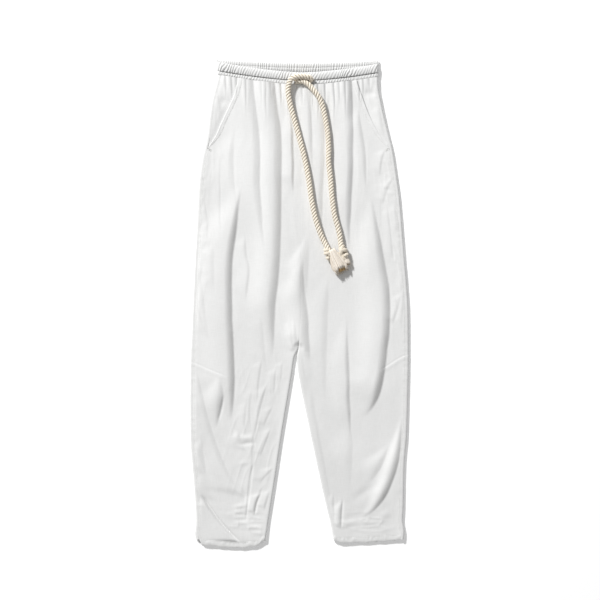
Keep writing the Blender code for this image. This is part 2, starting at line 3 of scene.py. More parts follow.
import bpy
import numpy as np
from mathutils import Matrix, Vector


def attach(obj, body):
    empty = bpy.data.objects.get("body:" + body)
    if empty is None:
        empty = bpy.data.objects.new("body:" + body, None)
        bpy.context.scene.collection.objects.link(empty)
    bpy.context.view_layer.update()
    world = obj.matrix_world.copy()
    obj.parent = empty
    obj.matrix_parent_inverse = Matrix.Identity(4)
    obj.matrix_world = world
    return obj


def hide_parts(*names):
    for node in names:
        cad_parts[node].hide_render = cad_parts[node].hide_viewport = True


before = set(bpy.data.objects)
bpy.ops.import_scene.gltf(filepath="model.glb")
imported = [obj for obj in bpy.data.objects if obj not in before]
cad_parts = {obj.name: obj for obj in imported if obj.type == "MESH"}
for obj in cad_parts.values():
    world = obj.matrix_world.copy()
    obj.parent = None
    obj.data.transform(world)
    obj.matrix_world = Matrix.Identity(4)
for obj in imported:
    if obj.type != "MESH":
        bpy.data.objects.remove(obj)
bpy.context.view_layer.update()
mm = 0.001
bpy.ops.object.select_all(action="DESELECT")
print("packed model loaded")


# Camera straight above the cloth, 2 mm of cloth for each pixel of the picture

cameraSettings = {"lens": 85.0, "fieldWide": 1.2, "lookX": 0.0015, "lookY": 0.0075, "sensor": 36.0}


def addCamera(settings):
    data = bpy.data.cameras.new("camera")
    data.lens = settings["lens"]
    data.sensor_width = settings["sensor"]
    data.clip_end = 50.0
    camera = bpy.data.objects.new("camera", data)
    high = settings["fieldWide"] * settings["lens"] / settings["sensor"]
    camera.location = (settings["lookX"], settings["lookY"], high)
    bpy.context.scene.collection.objects.link(camera)
    bpy.context.scene.camera = camera


addCamera(cameraSettings)
print("camera placed")


# Smooth steps, tables and soft random surfaces

def ease(t):
    t = np.clip(t, 0.0, 1.0)
    return t * t * (3.0 - 2.0 * t)


def readTable(rows, at):
    # a cubic through the rows of (height, value), heights falling
    keys = -np.array([row[0] for row in rows], float)
    values = np.array([row[1] for row in rows], float)
    slopes = np.empty_like(values)
    slopes[1:-1] = (values[2:] - values[:-2]) / (keys[2:] - keys[:-2])
    slopes[0] = (values[1] - values[0]) / (keys[1] - keys[0])
    slopes[-1] = (values[-1] - values[-2]) / (keys[-1] - keys[-2])
    at = np.clip(-np.asarray(at, float), keys[0], keys[-1])
    k = np.clip(np.searchsorted(keys, at, side="right") - 1, 0, len(keys) - 2)
    span = keys[k + 1] - keys[k]
    t = (at - keys[k]) / span
    start = values[k] * (1 + 2 * t) * (1 - t) ** 2 + span * slopes[k] * t * (1 - t) ** 2
    return start + values[k + 1] * t * t * (3 - 2 * t) + span * slopes[k + 1] * t * t * (t - 1)


def softNoise(x, y, cellX, cellY, seed):
    # one random value for each corner of a grid of cells, joined smoothly, from -1 to 1
    gx, gy = np.asarray(x, float) / cellX, np.asarray(y, float) / cellY
    ix, iy = np.floor(gx), np.floor(gy)
    fx, fy = gx - ix, gy - iy
    fx = fx * fx * (3 - 2 * fx)
    fy = fy * fy * (3 - 2 * fy)

    def corner(a, b):
        value = np.sin(a * 127.1 + b * 311.7 + seed * 74.7) * 43758.5453
        return 2.0 * (value - np.floor(value)) - 1.0

    low = corner(ix, iy) * (1 - fx) + corner(ix + 1, iy) * fx
    high = corner(ix, iy + 1) * (1 - fx) + corner(ix + 1, iy + 1) * fx
    return low * (1 - fy) + high * fy


def creaseNoise(x, y, cellX, cellY, seed):
    # narrow ridges where a soft random surface crosses zero
    return (1.0 - np.abs(softNoise(x, y, cellX, cellY, seed))) ** 3


# The cut of the laid trousers, seen from above

trousers = {
    "cloth": 1.2, "hemCloth": 2.0, "seamGap": 0.06, "sideSeamIn": 6.5, "rimRound": 3.2, "rimSplit": 3.5,
    "legHigh": 4.9, "waistHigh": 7.4, "edgeHigh": 7.8, "hipEdgeHigh": 11.0, "edgeWide": 16.0, "hemLift": 1.5,
    "clothTop": 19.0, "crotchX": -2.0, "crotchY": -89.0, "crotchSpread": 0.45, "hemBand": 13.0,
    "waistEnds": (-164.0, 158.0)}

legs = {
    "r": {
        "sign": -1.0,
        "outer": [
            (460, -160), (423, -170.5), (383, -178.5), (335, -184.5), (287, -194.5), (239, -200.5),
            (143, -205.5), (47, -210.5), (-49, -214.5), (-121, -217.9), (-265, -217.9), (-313, -214.5),
            (-361, -210.5), (-409, -207), (-435, -206.5), (-457, -208.5), (-470, -207)],
        "inner": [
            (460, 2), (200, 4), (-20, 3), (-70, -0.5), (-89, -2.2), (-106, -9.5), (-135, -14), (-169, -19.5),
            (-265, -35.5), (-361, -50), (-433, -61.5), (-488, -69.5)],
        "mouth": [(460, -121), (439, -123), (415, -130), (391, -141), (362, -155), (335, -167), (308,
            -183.6)],
        "hem": [(0.0, -470.0), (0.06, -481.0), (0.3, -484.5), (0.68, -487.5), (0.93, -482.0), (1.0, -474.0)],
        "dart": [(-116.0, -214.0), (-123.0, -196.0), (-131.0, -178.0), (-146.0, -140.0)]},
    "l": {
        "sign": 1.0,
        "outer": [
            (460, 157), (427, 158.5), (407, 162.5), (383, 167.5), (335, 179.5), (307, 186.5), (263, 193.5),
            (207, 201), (107, 209), (7, 217), (-73, 218.5), (-121, 218.5), (-193, 217), (-265, 214.7),
            (-313, 210.5), (-409, 208.2), (-433, 207), (-455, 210), (-475, 208)],
        "inner": [
            (460, 2), (200, 4), (-20, 3), (-70, -0.5), (-89, -1.8), (-106, -4.8), (-135, -2.5), (-169, 3.5),
            (-265, 23.5), (-361, 44), (-409, 55), (-433, 61), (-478, 69.5)],
        "mouth": [(460, 112), (439, 116), (412, 126), (385, 136), (352, 151.5), (328, 166), (308, 179.6)],
        "hem": [(0.0, -470.0), (0.08, -472.5), (0.5, -476.0), (0.93, -477.5), (1.0, -474.0)],
        "dart": [(-101.0, 214.0), (-109.0, 198.0), (-127.0, 170.0), (-133.0, 156.0)]}}

# lines across the waist: height at the middle and rise at the sides
waistLines = {
    "frontCasingTop": (462.0, 19.5), "frontCasingLow": (445.6, 18.0), "frontHeaderTop": (445.2, 18.0),
    "frontHeaderLow": (437.0, 18.5), "backCasingTop": (481.0, 5.9), "backCasingLow": (462.0, 8.0),
    "backHeaderTop": (461.6, 8.0), "backHeaderLow": (452.0, 5.0)}


def waistLine(name, x):
    middle, rise = waistLines[name]
    return middle + rise * (np.abs(x - 8.0) / 163.0) ** 1.6


def outerX(side, y):
    return readTable(legs[side]["outer"], y)


def innerX(side, y):
    return readTable(legs[side]["inner"], y) + legs[side]["sign"] * trousers["seamGap"] / 2


def seamX(side, y):
    return outerX(side, y) - legs[side]["sign"] * trousers["sideSeamIn"]


def mouthX(side, y):
    return readTable(legs[side]["mouth"], y)


def hemY(side, share):
    return readTable([(-u, y) for u, y in legs[side]["hem"]], -np.asarray(share, float))


# Folds of the front. Left of its crease the cloth stands "high", falls to the crease over "steep" and
# sinks further left over "soft"; a low "lip" lies right of the crease. Both ends fade. Paths are (y, x).

mainFolds = [
    (6.4, 16, 40, 0.8, 0, 130, [(462, -92), (418, -89.5), (328, -78.5), (236, -78.5), (178, -74.5), (96,
        -68)]),
    (8.4, 19, 26, 0.6, 0, 120, [
        (462, -52), (398, -44.5), (342, -36.5), (190, -35.5), (56, -40.5), (-10, -47.5), (-112, -52)]),
    (3.2, 6, 16, 0.4, 60, 40, [(392, -19.5), (338, -12.5), (220, -10.5)]),
    (10.0, 16, 44, 0.3, 120, 90, [
        (240, -114), (202, -119.5), (142, -126), (82, -133.5), (22, -134.5), (-64, -132), (-144,
            -129), (-234, -134)]),
    (6.0, 14, 20, 0.3, 50, 60, [(-140, -158), (-182, -150.5), (-212, -155.5), (-250, -166)]),
    (10.0, 18, 36, 0.3, 150, 80, [
        (222, 143), (164, 155.5), (82, 171.5), (30, 180), (-24, 182), (-78, 177.5), (-130, 171.5), (-170,
            164),
        (-200, 151.5), (-228, 131)]),
    (6.5, 13, 12, 0.3, 110, 60, [
        (-220, 207), (-272, 203.5), (-310, 199.5), (-344, 190), (-384, 173.5), (-410, 153), (-430, 126)]),
    (2.6, 13, 18, 0.2, 40, 40, [(-280, 180), (-318, 168), (-342, 154), (-362, 136)]),
    (4.0, 9, 26, 0.3, 110, 70, [(-20, 95), (-110, 98.5), (-210, 101.5), (-272, 102.5)]),
    (6.8, 18, 22, 0.4, 90, 60, [(100, 7.5), (30, 10), (-24, 17), (-78, 20.5), (-118, 22)]),
    (3.4, 24, 14, 0.1, 70, 60, [(140, 20), (70, 18), (10, 16)]),
    (6.2, 13, 26, 0.5, 0, 120, [(462, 103.5), (388, 107), (256, 107), (178, 102.5), (92, 99)]),
    (3.4, 9, 16, 0.4, 0, 80, [(462, 20.5), (388, 23.5), (308, 26.5), (250, 28)]),
    (2.4, 9, 20, 0.3, 50, 70, [(396, 119), (364, 123), (328, 129), (293, 133), (216, 134.5)]),
    (2.8, 11, 20, 0.4, 0, 110, [(462, 43), (340, 50), (230, 48), (100, 42)]),
    (2.0, 12, 30, 0.2, 60, 80, [(350, -130), (270, -131), (180, -123)]),
    (1.8, 14, 30, 0.2, 80, 100, [(60, 60), (-60, 56), (-200, 52)]),
    (1.8, 16, 30, 0.2, 80, 100, [(-230, 104), (-300, 106), (-380, 100)])]

# creases that the large folds leave between them
smallCreases = [
    (1.5, 6, 16, 0.2, 30, 40, [(140, -107.5), (98, -104.5), (68, -99.5), (0, -106)]),
    (0.8, 4, 10, 0.2, 20, 30, [(208, -189.5), (164, -182.5), (112, -185.5)]),
    (0.8, 4, 14, 0.2, 50, 40, [(306, -158.5), (218, -157), (130, -157)]),
    (1.5, 9, 14, 0.2, 30, 30, [(122, -170.5), (70, -170), (22, -169.5)]),
    (1.0, 7, 8, 0.2, 25, 25, [(136, -196.5), (92, -193.5), (44, -197.5)]),
    (0.9, 6, 12, 0.2, 25, 25, [(32, -192.5), (-22, -186.5), (-66, -179.5)]),
    (0.9, 5, 10, 0.3, 15, 25, [(2, -204.5), (-36, -192.5), (-76, -175)]),
    (0.9, 8, 16, 0.2, 35, 40, [(-16, -76), (-80, -70), (-136, -65)]),
    (1.8, 7, 9, 0.4, 40, 14, [(-24, -9), (-72, -4.5), (-102, -4)]),
    (1.0, 5, 9, 0.3, 30, 16, [(-24, -17), (-62, -14), (-96, -11)]),
    (1.0, 7, 10, 0.3, 10, 40, [(-92, 6), (-122, 9), (-164, 15)]),
    (2.6, 10, 30, 0.3, 80, 24, [
        (-128, -204.5), (-182, -192.5), (-252, -174.5), (-308, -154.5), (-342, -138.5), (-366,
            -122.5), (-388, -104)]),
    (1.4, 10, 16, 0.2, 25, 25, [(-268, -193.5), (-302, -190.5), (-346, -185)]),
    (1.2, 12, 18, 0.2, 20, 20, [(-338, -193.5), (-372, -174.5), (-398, -158)]),
    (3.2, 4.5, 22, 0.4, 20, 8, [
        (-384, -194), (-412, -174.5), (-436, -156.5), (-456, -138.5), (-477, -117.5)]),
    (0.8, 3, 8, 0.3, 15, 40, [(-252, -91), (-312, -89.5), (-346, -98), (-436, -107)]),
    (0.9, 4, 12, 0.2, 16, 16, [(-126, -46), (-184, -50)]),
    (1.0, 4, 12, 0.2, 20, 20, [(-160, -65), (-222, -80.5), (-270, -90)]),
    (0.9, 4, 10, 0.2, 12, 12, [(-202, -51), (-226, -62.5), (-246, -71)]),
    (1.1, 4, 11, 0.2, 14, 14, [(-246, -55), (-282, -68.5), (-306, -78)]),
    (1.1, 4, 11, 0.2, 12, 12, [(-322, -43), (-340, -62.5), (-358, -79)]),
    (1.0, 4, 12, 0.2, 20, 20, [(-110, -74), (-162, -80.5), (-198, -85)]),
    (0.8, 4, 10, 0.2, 14, 14, [(-112, -32), (-158, -37)]),
    (0.8, 5, 14, 0.2, 25, 25, [(-166, -94), (-214, -98), (-254, -95.5)]),
    (0.8, 5, 12, 0.2, 20, 20, [(-192, -104), (-230, -108), (-266, -105.5)]),
    (1.2, 6, 10, 0.3, 12, 12, [(-256, -121), (-276, -114), (-296, -102)]),
    (2.2, 6, 9, 0.4, 12, 12, [(-374, -73), (-398, -84.5), (-422, -89)]),
    (1.2, 5, 9, 0.3, 12, 12, [(-368, -53), (-396, -64.5), (-412, -69)]),
    (1.2, 12, 14, 0.2, 50, 50, [(-160, 24), (-252, 38), (-332, 53), (-404, 66)]),
    (2.4, 7, 9, 0.4, 24, 14, [(-388, 86.5), (-416, 84.5), (-450, 83.5)]),
    (1.2, 6, 9, 0.3, 20, 14, [(-376, 69), (-436, 70.5)]),
    (0.9, 4, 9, 0.2, 25, 25, [(198, 177), (128, 184), (80, 189.5)]),
    (1.0, 6, 10, 0.3, 25, 25, [(204, 189.5), (148, 202), (94, 211)]),
    (1.0, 6, 10, 0.3, 14, 14, [(22, 204), (-16, 195), (-42, 186)]),
    (0.8, 5, 8, 0.2, 25, 25, [(34, 210.5), (-56, 204.5)]),
    (1.0, 5, 12, 0.3, 14, 18, [(310, 173), (282, 165), (254, 162)]),
    (1.0, 6, 10, 0.3, 14, 18, [(250, 187), (226, 176), (196, 167)]),
    (1.3, 8, 12, 0.3, 14, 26, [(434, -165), (406, -159), (374, -151)]),
    (1.2, 7, 12, 0.2, 20, 26, [(400, 163.5), (360, 167), (326, 172.5)])]

# small bumps and dents: place, half width, half height, turn in degrees, height
dents = [
    (-118, -404, 13, 4, 10, 1.3), (-120, -415, 14, 3.6, 6, 1.2), (-116, -426, 15, 3.6, 0, 1.2),
    (-112, -437, 16, 3.6, -4, 1.3), (-93, -445, 16, 6, -8, 2.0), (-78, -458, 18, 5, -6, 1.3),
    (-109, -384, 6, 11, 10, -1.8), (-106, -268, 11, 5, 4, 1.5), (-104, -279, 13, 3, 6, -1.5),
    (-126, -262, 6, 8, -10, 1.2), (-110, -318, 12, 4, 10, 0.8), (-60, -420, 6, 14, -20, 1.2),
    (-150, 403, 8, 8, 0, -1.4), (142, 420, 11, 7, 0, -1.4), (128, -378, 22, 8, 35, -1.2),
    (104, -436, 14, 5, 10, 1.0), (136, -438, 16, 5, 5, 1.1), (172, -420, 10, 8, 30, 1.0),
    (-2, 408, 7, 12, 0, -1.2), (-196, 50, 6, 16, 0, -1.2), (151, -160, 8, 30, -14, 1.8), (-197, 108, 6,
        14, 0, -1.0)]

# deep narrow grooves: depth, half width, fade, path
grooves = [
    (3.6, 3.0, 20, [(-380, -196), (-412, -175.5), (-436, -157.5), (-456, -139.5), (-480, -116)]),
    (0.8, 2.4, 14, [(-180, -151), (-206, -154), (-236, -162)]),
    (0.7, 2.2, 16, [(-262, -92), (-330, -94), (-436, -107)]),
    (0.8, 2.2, 12, [(-366, -73), (-398, -84.5), (-424, -89)]),
    (0.6, 2.0, 12, [(-386, 87.5), (-416, 85.5), (-448, 84.5)])]

# zones of fine crumpled cloth: place, half size, cell size, slant, height
crumples = [
    (174, 250, 18, 60, 11, 12, 0.3, 0.6), (-190, 250, 14, 60, 10, 14, -0.3, 0.45),
    (125, -436, 58, 20, 22, 9, 0.2, 1.0), (-105, -432, 46, 24, 20, 9, 0.2, 0.8),
    (-90, -260, 60, 130, 13, 50, -0.30, 0.6), (198, 70, 20, 120, 10, 34, 0.25, 0.6),
    (-180, -280, 34, 110, 15, 60, 0.40, 0.4), (-196, 100, 16, 120, 11, 28, -0.2, 0.5)]


def foldHeight(fold, x, y):
    high, steep, soft, lip, fadeTop, fadeEnd, path = fold
    top, end = path[0][0], path[-1][0]
    reach = steep + 2.6 * soft
    places = [place for level, place in path]
    height = np.zeros(np.shape(x))
    inside = (y < top) & (y > end) & (x > min(places) - reach) & (x < max(places) + reach)
    if not inside.any():
        return height
    u, v = x[inside], y[inside]
    lean = (readTable(path, v - 1) - readTable(path, v + 1)) / 2
    wander = 0.7 * softNoise(0 * v, v, 1.0, 31.0, path[0][1]) if top - end > 60 else 0.0
    across = (u - readTable(path, v) - wander) / np.hypot(1.0, lean)
    fade = ease((v - end) / fadeEnd)
    if fadeTop:
        fade = fade * ease((top - v) / fadeTop)
    narrow = 0.25 + 0.75 * fade
    steep, soft = steep * narrow, soft * narrow
    down = -across / steep
    left = np.where(down > 1, np.exp(-((-across - steep) / soft) ** 2), down * (1.5 - 0.5 * down ** 2))
    right = np.where(across > steep, np.exp(-((across - steep) / soft) ** 2), 1 - (1 - across / steep) ** 2)
    height[inside] = fade * np.where(across < 0, high * left, lip * right)
    return height


# short gathers under the band: place along the waist, length, depth
gathers = [
    (-146, 34, 1.8), (-134, 40, 2.4), (-124, 34, 1.8), (-106, 56, 2.6), (-75, 40, 2.0), (-66, 70,
        2.2), (-57, 24, 1.2),
    (-36, 40, 2.4), (-22, 52, 2.2), (-8, 30, 1.4), (6, 40, 1.8), (26, 44, 2.0), (38, 60, 2.4), (52, 46, 2.2),
    (70, 66, 2.6), (80, 36, 1.8), (92, 60, 2.4), (120, 40, 2.0), (128, 30, 1.6), (140, 24, 1.2)]


def gatherFold(place, length, depth):
    low = float(waistLine("frontHeaderLow", place)) + 2
    length = 1.5 * length
    path = [(low, place), (low - length * 0.5, place + 0.8), (low - length, place - 0.4)]
    return (1.3 * depth, 5.0, 6.0, 1.1, 0, length, path)


allFolds = mainFolds + [gatherFold(*gather) for gather in gathers] + smallCreases


def dentHeight(dent, x, y):
    dentX, dentY, wide, tall, turn, high = dent
    c, s = math.cos(math.radians(turn)), math.sin(math.radians(turn))
    u, v = x - dentX, y - dentY
    return high * np.exp(-((u * c + v * s) / wide) ** 2 - ((v * c - u * s) / tall) ** 2)


def grooveHeight(groove, x, y):
    depth, wide, fade, path = groove
    lean = (readTable(path, y - 1) - readTable(path, y + 1)) / 2
    across = (x - readTable(path, y)) / np.hypot(1.0, lean)
    ends = ease((path[0][0] - y) / fade) * ease((y - path[-1][0]) / fade)
    return -depth * ends * np.exp(-(across / wide) ** 2)


def crumpleHeight(zone, x, y):
    zoneX, zoneY, wide, tall, cellX, cellY, slant, high = zone
    amount = np.exp(-(np.abs(x - zoneX) / wide) ** 3 - (np.abs(y - zoneY) / tall) ** 3)
    ridges = creaseNoise(x + slant * y, y, cellX, cellY, zoneX) + 0.5 * softNoise(x - slant * y, y, cellX,
        cellY * 0.7, zoneY)
    return high * amount * ridges


def fineCloth(x, y):
    # the cloth's own soft wrinkles
    broad = 0.35 * softNoise(x, y, 46, 120, 3) + 0.25 * softNoise(x, y, 23, 90, 5)
    upright = 0.25 * creaseNoise(x + 0.10 * y, y, 17, 120, 7) * (0.5 + 0.5 * softNoise(x, y, 60, 80, 8))
    crossing = 0.22 * creaseNoise(x + 0.5 * y, y, 26, 60, 11) * ease(softNoise(x, y, 70, 60, 12))
    hip = ease((y - 60) / 120) * 0.22 * creaseNoise(x, y, 11, 90, 17)
    fine = broad + upright + crossing + hip + 0.05 * softNoise(x, y, 5, 9, 19)
    for dent in dents:
        fine = fine + dentHeight(dent, x, y)
    for groove in grooves:
        fine = fine + grooveHeight(groove, x, y)
    for zone in crumples:
        fine = fine + crumpleHeight(zone, x, y)
    return fine


def dartDepth(side, x, y):
    # the stitched dart that runs in from the side seam at the knee: a fine groove, puffed below
    rows = legs[side]["dart"]
    sign = legs[side]["sign"]
    start, end = sign * rows[0][1], sign * rows[-1][1]
    line = readTable([(sign * x0, y0) for y0, x0 in rows], sign * x)
    away = y - line
    amount = ease((sign * x - end) / 20.0) * ease((start + 4 - sign * x) / 4.0)
    return amount * (0.4 * np.exp(-((away + 5.0) / 5.0) ** 2) - 0.4 * np.exp(-(away / 1.6) ** 2))


def frontHeight(side, x, y, fine=True):
    # outer skin of the front, before it rounds down at an edge
    toOuter = np.abs(x - outerX(side, y))
    toInner = np.abs(x - innerX(side, y))
    above = np.hypot(x - trousers["crotchX"], y - trousers["crotchY"])
    near = np.minimum(toOuter, np.where(y < trousers["crotchY"], toInner, above))
    height = trousers["legHigh"] + (trousers["waistHigh"] - trousers["legHigh"]) * ease((y - 320) / 110)
    edge = trousers["edgeHigh"] + (trousers["hipEdgeHigh"] - trousers["edgeHigh"]) * ease((y - 280) / 150)
    height = height + (edge - height) * np.exp(-near / trousers["edgeWide"])
    height = height + trousers["hemLift"] * ease((-425 - y) / 50)
    folds = sum(foldHeight(fold, x, y) for fold in allFolds)
    if fine:
        folds = folds + fineCloth(x, y)
    folds = folds * ease((near - 2.0) / 12.0)
    limit = trousers["clothTop"] - height
    height = height + limit * np.tanh(folds / limit)
    if fine:
        seam = np.exp(-((x - seamX(side, y)) / 1.5) ** 2)
        pucker = softNoise(x * 0 + 3, y, 1, 6, 71) * np.exp(-((toOuter - 8) / 4) ** 2)
        middle = np.where(y > trousers["crotchY"], np.exp(-(toInner / 1.5) ** 2), 0.0)
        height = height + dartDepth(side, x,
            y) * ease((toOuter - 3.0) / 4.0) - 0.12 * seam + 0.25 * pucker - 0.12 * middle
    return height


# Meshes from grids of points

def meshFromGrid(name, grid, material, thickness=0.0, up=True, closedRound=False):
    rows, columns = grid.shape[:2]
    index = np.arange(rows * columns).reshape(rows, columns)
    across = np.concatenate([index, index[:, :1]], axis=1) if closedRound else index
    quads = np.stack([across[:-1, :-1], across[:-1, 1:], across[1:, 1:], across[1:, :-1]],
        axis=-1).reshape(-1, 4)
    faces = [tuple(int(v) for v in quad) for quad in quads]
    if closedRound:
        faces.append(tuple(int(v) for v in index[0, ::-1]))
        faces.append(tuple(int(v) for v in index[-1]))
    mesh = bpy.data.meshes.new(name)
    mesh.from_pydata([tuple(p) for p in (grid.reshape(-1, 3) * mm)], [], faces)
    mesh.update()
    piece = bpy.data.objects.new(name, mesh)
    bpy.context.scene.collection.objects.link(piece)
    mesh.materials.append(material)
    normals = np.array([face.normal.z * face.area for face in mesh.polygons]).sum()
    if closedRound:
        volume = signedVolume(mesh)
        if volume < 0:
            mesh.flip_normals()
    elif (normals > 0) != up:
        mesh.flip_normals()
    mesh.shade_smooth()
    if thickness:
        wall = piece.modifiers.new("wall", "SOLIDIFY")
        wall.thickness = thickness * mm
        wall.offset = -1.0
        bpy.ops.object.select_all(action="DESELECT")
        piece.select_set(True)
        bpy.context.view_layer.objects.active = piece
        bpy.ops.object.modifier_apply(modifier=wall.name)
        bpy.ops.object.shade_smooth_by_angle(angle=math.radians(60))  # cut edges stay crisp
        piece.select_set(False)
    return piece


def signedVolume(mesh):
    mesh.calc_loop_triangles()
    points = np.array([v.co for v in mesh.vertices])
    triangles = np.array([t.vertices for t in mesh.loop_triangles])
    a, b, c = points[triangles[:, 0]], points[triangles[:, 1]], points[triangles[:, 2]]
    return float((a * np.cross(b, c)).sum() / 6)


def finishPiece(piece, replaced=()):
    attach(piece, "root")
    if replaced:
        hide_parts(*replaced)
    return piece


# Materials

def addNode(tree, kind, **inputs):
    node = tree.nodes.new(kind)
    for name, value in inputs.items():
        node.inputs[name.replace("_", " ")].default_value = value
    return node


linenLook = {
    "colour": (0.785, 0.785, 0.78), "shade": (0.715, 0.715, 0.708), "rough": 0.9, "sheen": 0.08,
    "threadPitch": 0.0007, "slubLong": 55.0, "slubFine": 1100.0, "bump": 0.35}


def makeLinen(name, look, turn=0.0):
    material = bpy.data.materials.new(name)
    material.use_nodes = True
    tree = material.node_tree
    shader = tree.nodes["Principled BSDF"]
    shader.inputs["Roughness"].default_value = look["rough"]
    shader.inputs["Sheen Weight"].default_value = look["sheen"]
    shader.inputs["Sheen Roughness"].default_value = 0.5
    shader.inputs["Specular IOR Level"].default_value = 0.2
    place = tree.nodes.new("ShaderNodeTexCoord")
    slubs = []
    for long, fine in ((look["slubLong"], look["slubFine"]), (look["slubFine"], look["slubLong"])):
        mapping = addNode(tree, "ShaderNodeMapping", Rotation=(0, 0, turn), Scale=(long, fine, 1.0))
        noise = addNode(tree, "ShaderNodeTexNoise", Scale=1.0, Detail=2.0, Roughness=0.6)
        tree.links.new(place.outputs["Object"], mapping.inputs["Vector"])
        tree.links.new(mapping.outputs["Vector"], noise.inputs["Vector"])
        slubs.append(noise)
    threads = []
    for direction in ("X", "Y"):
        mapping = addNode(tree, "ShaderNodeMapping", Rotation=(0, 0, turn))
        wave = addNode(tree, "ShaderNodeTexWave", Scale=0.314 / look["threadPitch"] / 1.0, Distortion=1.5,
                       Detail=1.0)
        wave.inputs["Detail Scale"].default_value = 0.4
        wave.bands_direction = direction
        tree.links.new(place.outputs["Object"], mapping.inputs["Vector"])
        tree.links.new(mapping.outputs["Vector"], wave.inputs["Vector"])
        threads.append(wave)
    slubSum = tree.nodes.new("ShaderNodeMath")
    slubSum.operation = "ADD"
    tree.links.new(slubs[0].outputs["Fac"], slubSum.inputs[0])
    tree.links.new(slubs[1].outputs["Fac"], slubSum.inputs[1])
    threadMix = tree.nodes.new("ShaderNodeMath")
    threadMix.operation = "MAXIMUM"
    tree.links.new(threads[0].outputs["Fac"], threadMix.inputs[0])
    tree.links.new(threads[1].outputs["Fac"], threadMix.inputs[1])
    heightMix = addNode(tree, "ShaderNodeMath")
    heightMix.operation = "MULTIPLY_ADD"
    heightMix.inputs[1].default_value = 0.35
    tree.links.new(threadMix.outputs[0], heightMix.inputs[0])
    tree.links.new(slubSum.outputs[0], heightMix.inputs[2])
    cloud = addNode(tree, "ShaderNodeTexNoise", Scale=9.0, Detail=3.0, Roughness=0.55)
    tree.links.new(place.outputs["Object"], cloud.inputs["Vector"])
    tone = tree.nodes.new("ShaderNodeMath")
    tone.operation = "MULTIPLY_ADD"
    tone.inputs[1].default_value = 0.45
    tree.links.new(slubSum.outputs[0], tone.inputs[0])
    cloudPart = tree.nodes.new("ShaderNodeMath")
    cloudPart.operation = "MULTIPLY"
    cloudPart.inputs[1].default_value = 0.5
    tree.links.new(cloud.outputs["Fac"], cloudPart.inputs[0])
    tree.links.new(cloudPart.outputs[0], tone.inputs[2])
    ramp = tree.nodes.new("ShaderNodeValToRGB")
    ramp.color_ramp.elements[0].position = 0.5
    ramp.color_ramp.elements[0].color = (*look["shade"], 1.0)
    ramp.color_ramp.elements[1].position = 0.85
    ramp.color_ramp.elements[1].color = (*look["colour"], 1.0)
    tree.links.new(tone.outputs[0], ramp.inputs["Fac"])
    tree.links.new(ramp.outputs["Color"], shader.inputs["Base Color"])
    bump = addNode(tree, "ShaderNodeBump", Strength=look["bump"], Distance=0.00025)
    tree.links.new(heightMix.outputs[0], bump.inputs["Height"])
    tree.links.new(bump.outputs["Normal"], shader.inputs["Normal"])
    return material


# the groove colours are painted shade, mixed in by an attribute deep between the strands, low under the knots and
# among the tassel yarns
ropeLook = {
    "light": (0.95, 0.88, 0.77), "dark": (0.80, 0.71, 0.57), "groove": (0.22, 0.17, 0.09), "rough": 0.85,
    "sheen": 0.15, "yarnPitch": 0.0011, "yarnLean": 0.5, "bump": 0.8}


def makeRope(name, look):
    # fine yarns run slantwise round each strand, in the strand's own UV map in metres
    material = bpy.data.materials.new(name)
    material.use_nodes = True
    tree = material.node_tree
    shader = tree.nodes["Principled BSDF"]
    shader.inputs["Roughness"].default_value = look["rough"]
    shader.inputs["Sheen Weight"].default_value = look["sheen"]
    shader.inputs["Sheen Roughness"].default_value = 0.5
    shader.inputs["Specular IOR Level"].default_value = 0.25
    place = tree.nodes.new("ShaderNodeTexCoord")
    mapping = addNode(tree, "ShaderNodeMapping", Rotation=(0, 0, look["yarnLean"]))
    tree.links.new(place.outputs["UV"], mapping.inputs["Vector"])
    wave = addNode(tree, "ShaderNodeTexWave", Scale=0.314 / look["yarnPitch"], Distortion=2.0, Detail=2.0)
    wave.bands_direction = "Y"
    tree.links.new(mapping.outputs["Vector"], wave.inputs["Vector"])
    fuzz = addNode(tree, "ShaderNodeTexNoise", Scale=420.0, Detail=4.0, Roughness=0.7)
    tree.links.new(place.outputs["Object"], fuzz.inputs["Vector"])
    both = tree.nodes.new("ShaderNodeMath")
    both.operation = "MULTIPLY_ADD"
    both.inputs[1].default_value = 0.5
    tree.links.new(wave.outputs["Fac"], both.inputs[0])
    tree.links.new(fuzz.outputs["Fac"], both.inputs[2])
    ramp = tree.nodes.new("ShaderNodeValToRGB")
    ramp.color_ramp.elements[0].position = 0.35
    ramp.color_ramp.elements[0].color = (*look["dark"], 1.0)
    ramp.color_ramp.elements[1].position = 0.8
    ramp.color_ramp.elements[1].color = (*look["light"], 1.0)
    tree.links.new(both.outputs[0], ramp.inputs["Fac"])
    # painted shade: this attribute blends the dark groove colour in where the rope would lie in shade
    paintedLightLevel = tree.nodes.new("ShaderNodeAttribute")  # 0 deep between strands, 1 on their backs
    paintedLightLevel.attribute_name = "paintedLightLevel"
    paintedShadeMix = tree.nodes.new("ShaderNodeMix")
    paintedShadeMix.data_type = "RGBA"
    paintedShadeMix.inputs["A"].default_value = (*look["groove"], 1.0)
    tree.links.new(paintedLightLevel.outputs["Fac"], paintedShadeMix.inputs["Factor"])
    tree.links.new(ramp.outputs["Color"], paintedShadeMix.inputs["B"])
    tree.links.new(paintedShadeMix.outputs["Result"], shader.inputs["Base Color"])
    bump = addNode(tree, "ShaderNodeBump", Strength=look["bump"], Distance=0.0003)
    tree.links.new(both.outputs[0], bump.inputs["Height"])
    tree.links.new(bump.outputs["Normal"], shader.inputs["Normal"])
    return material


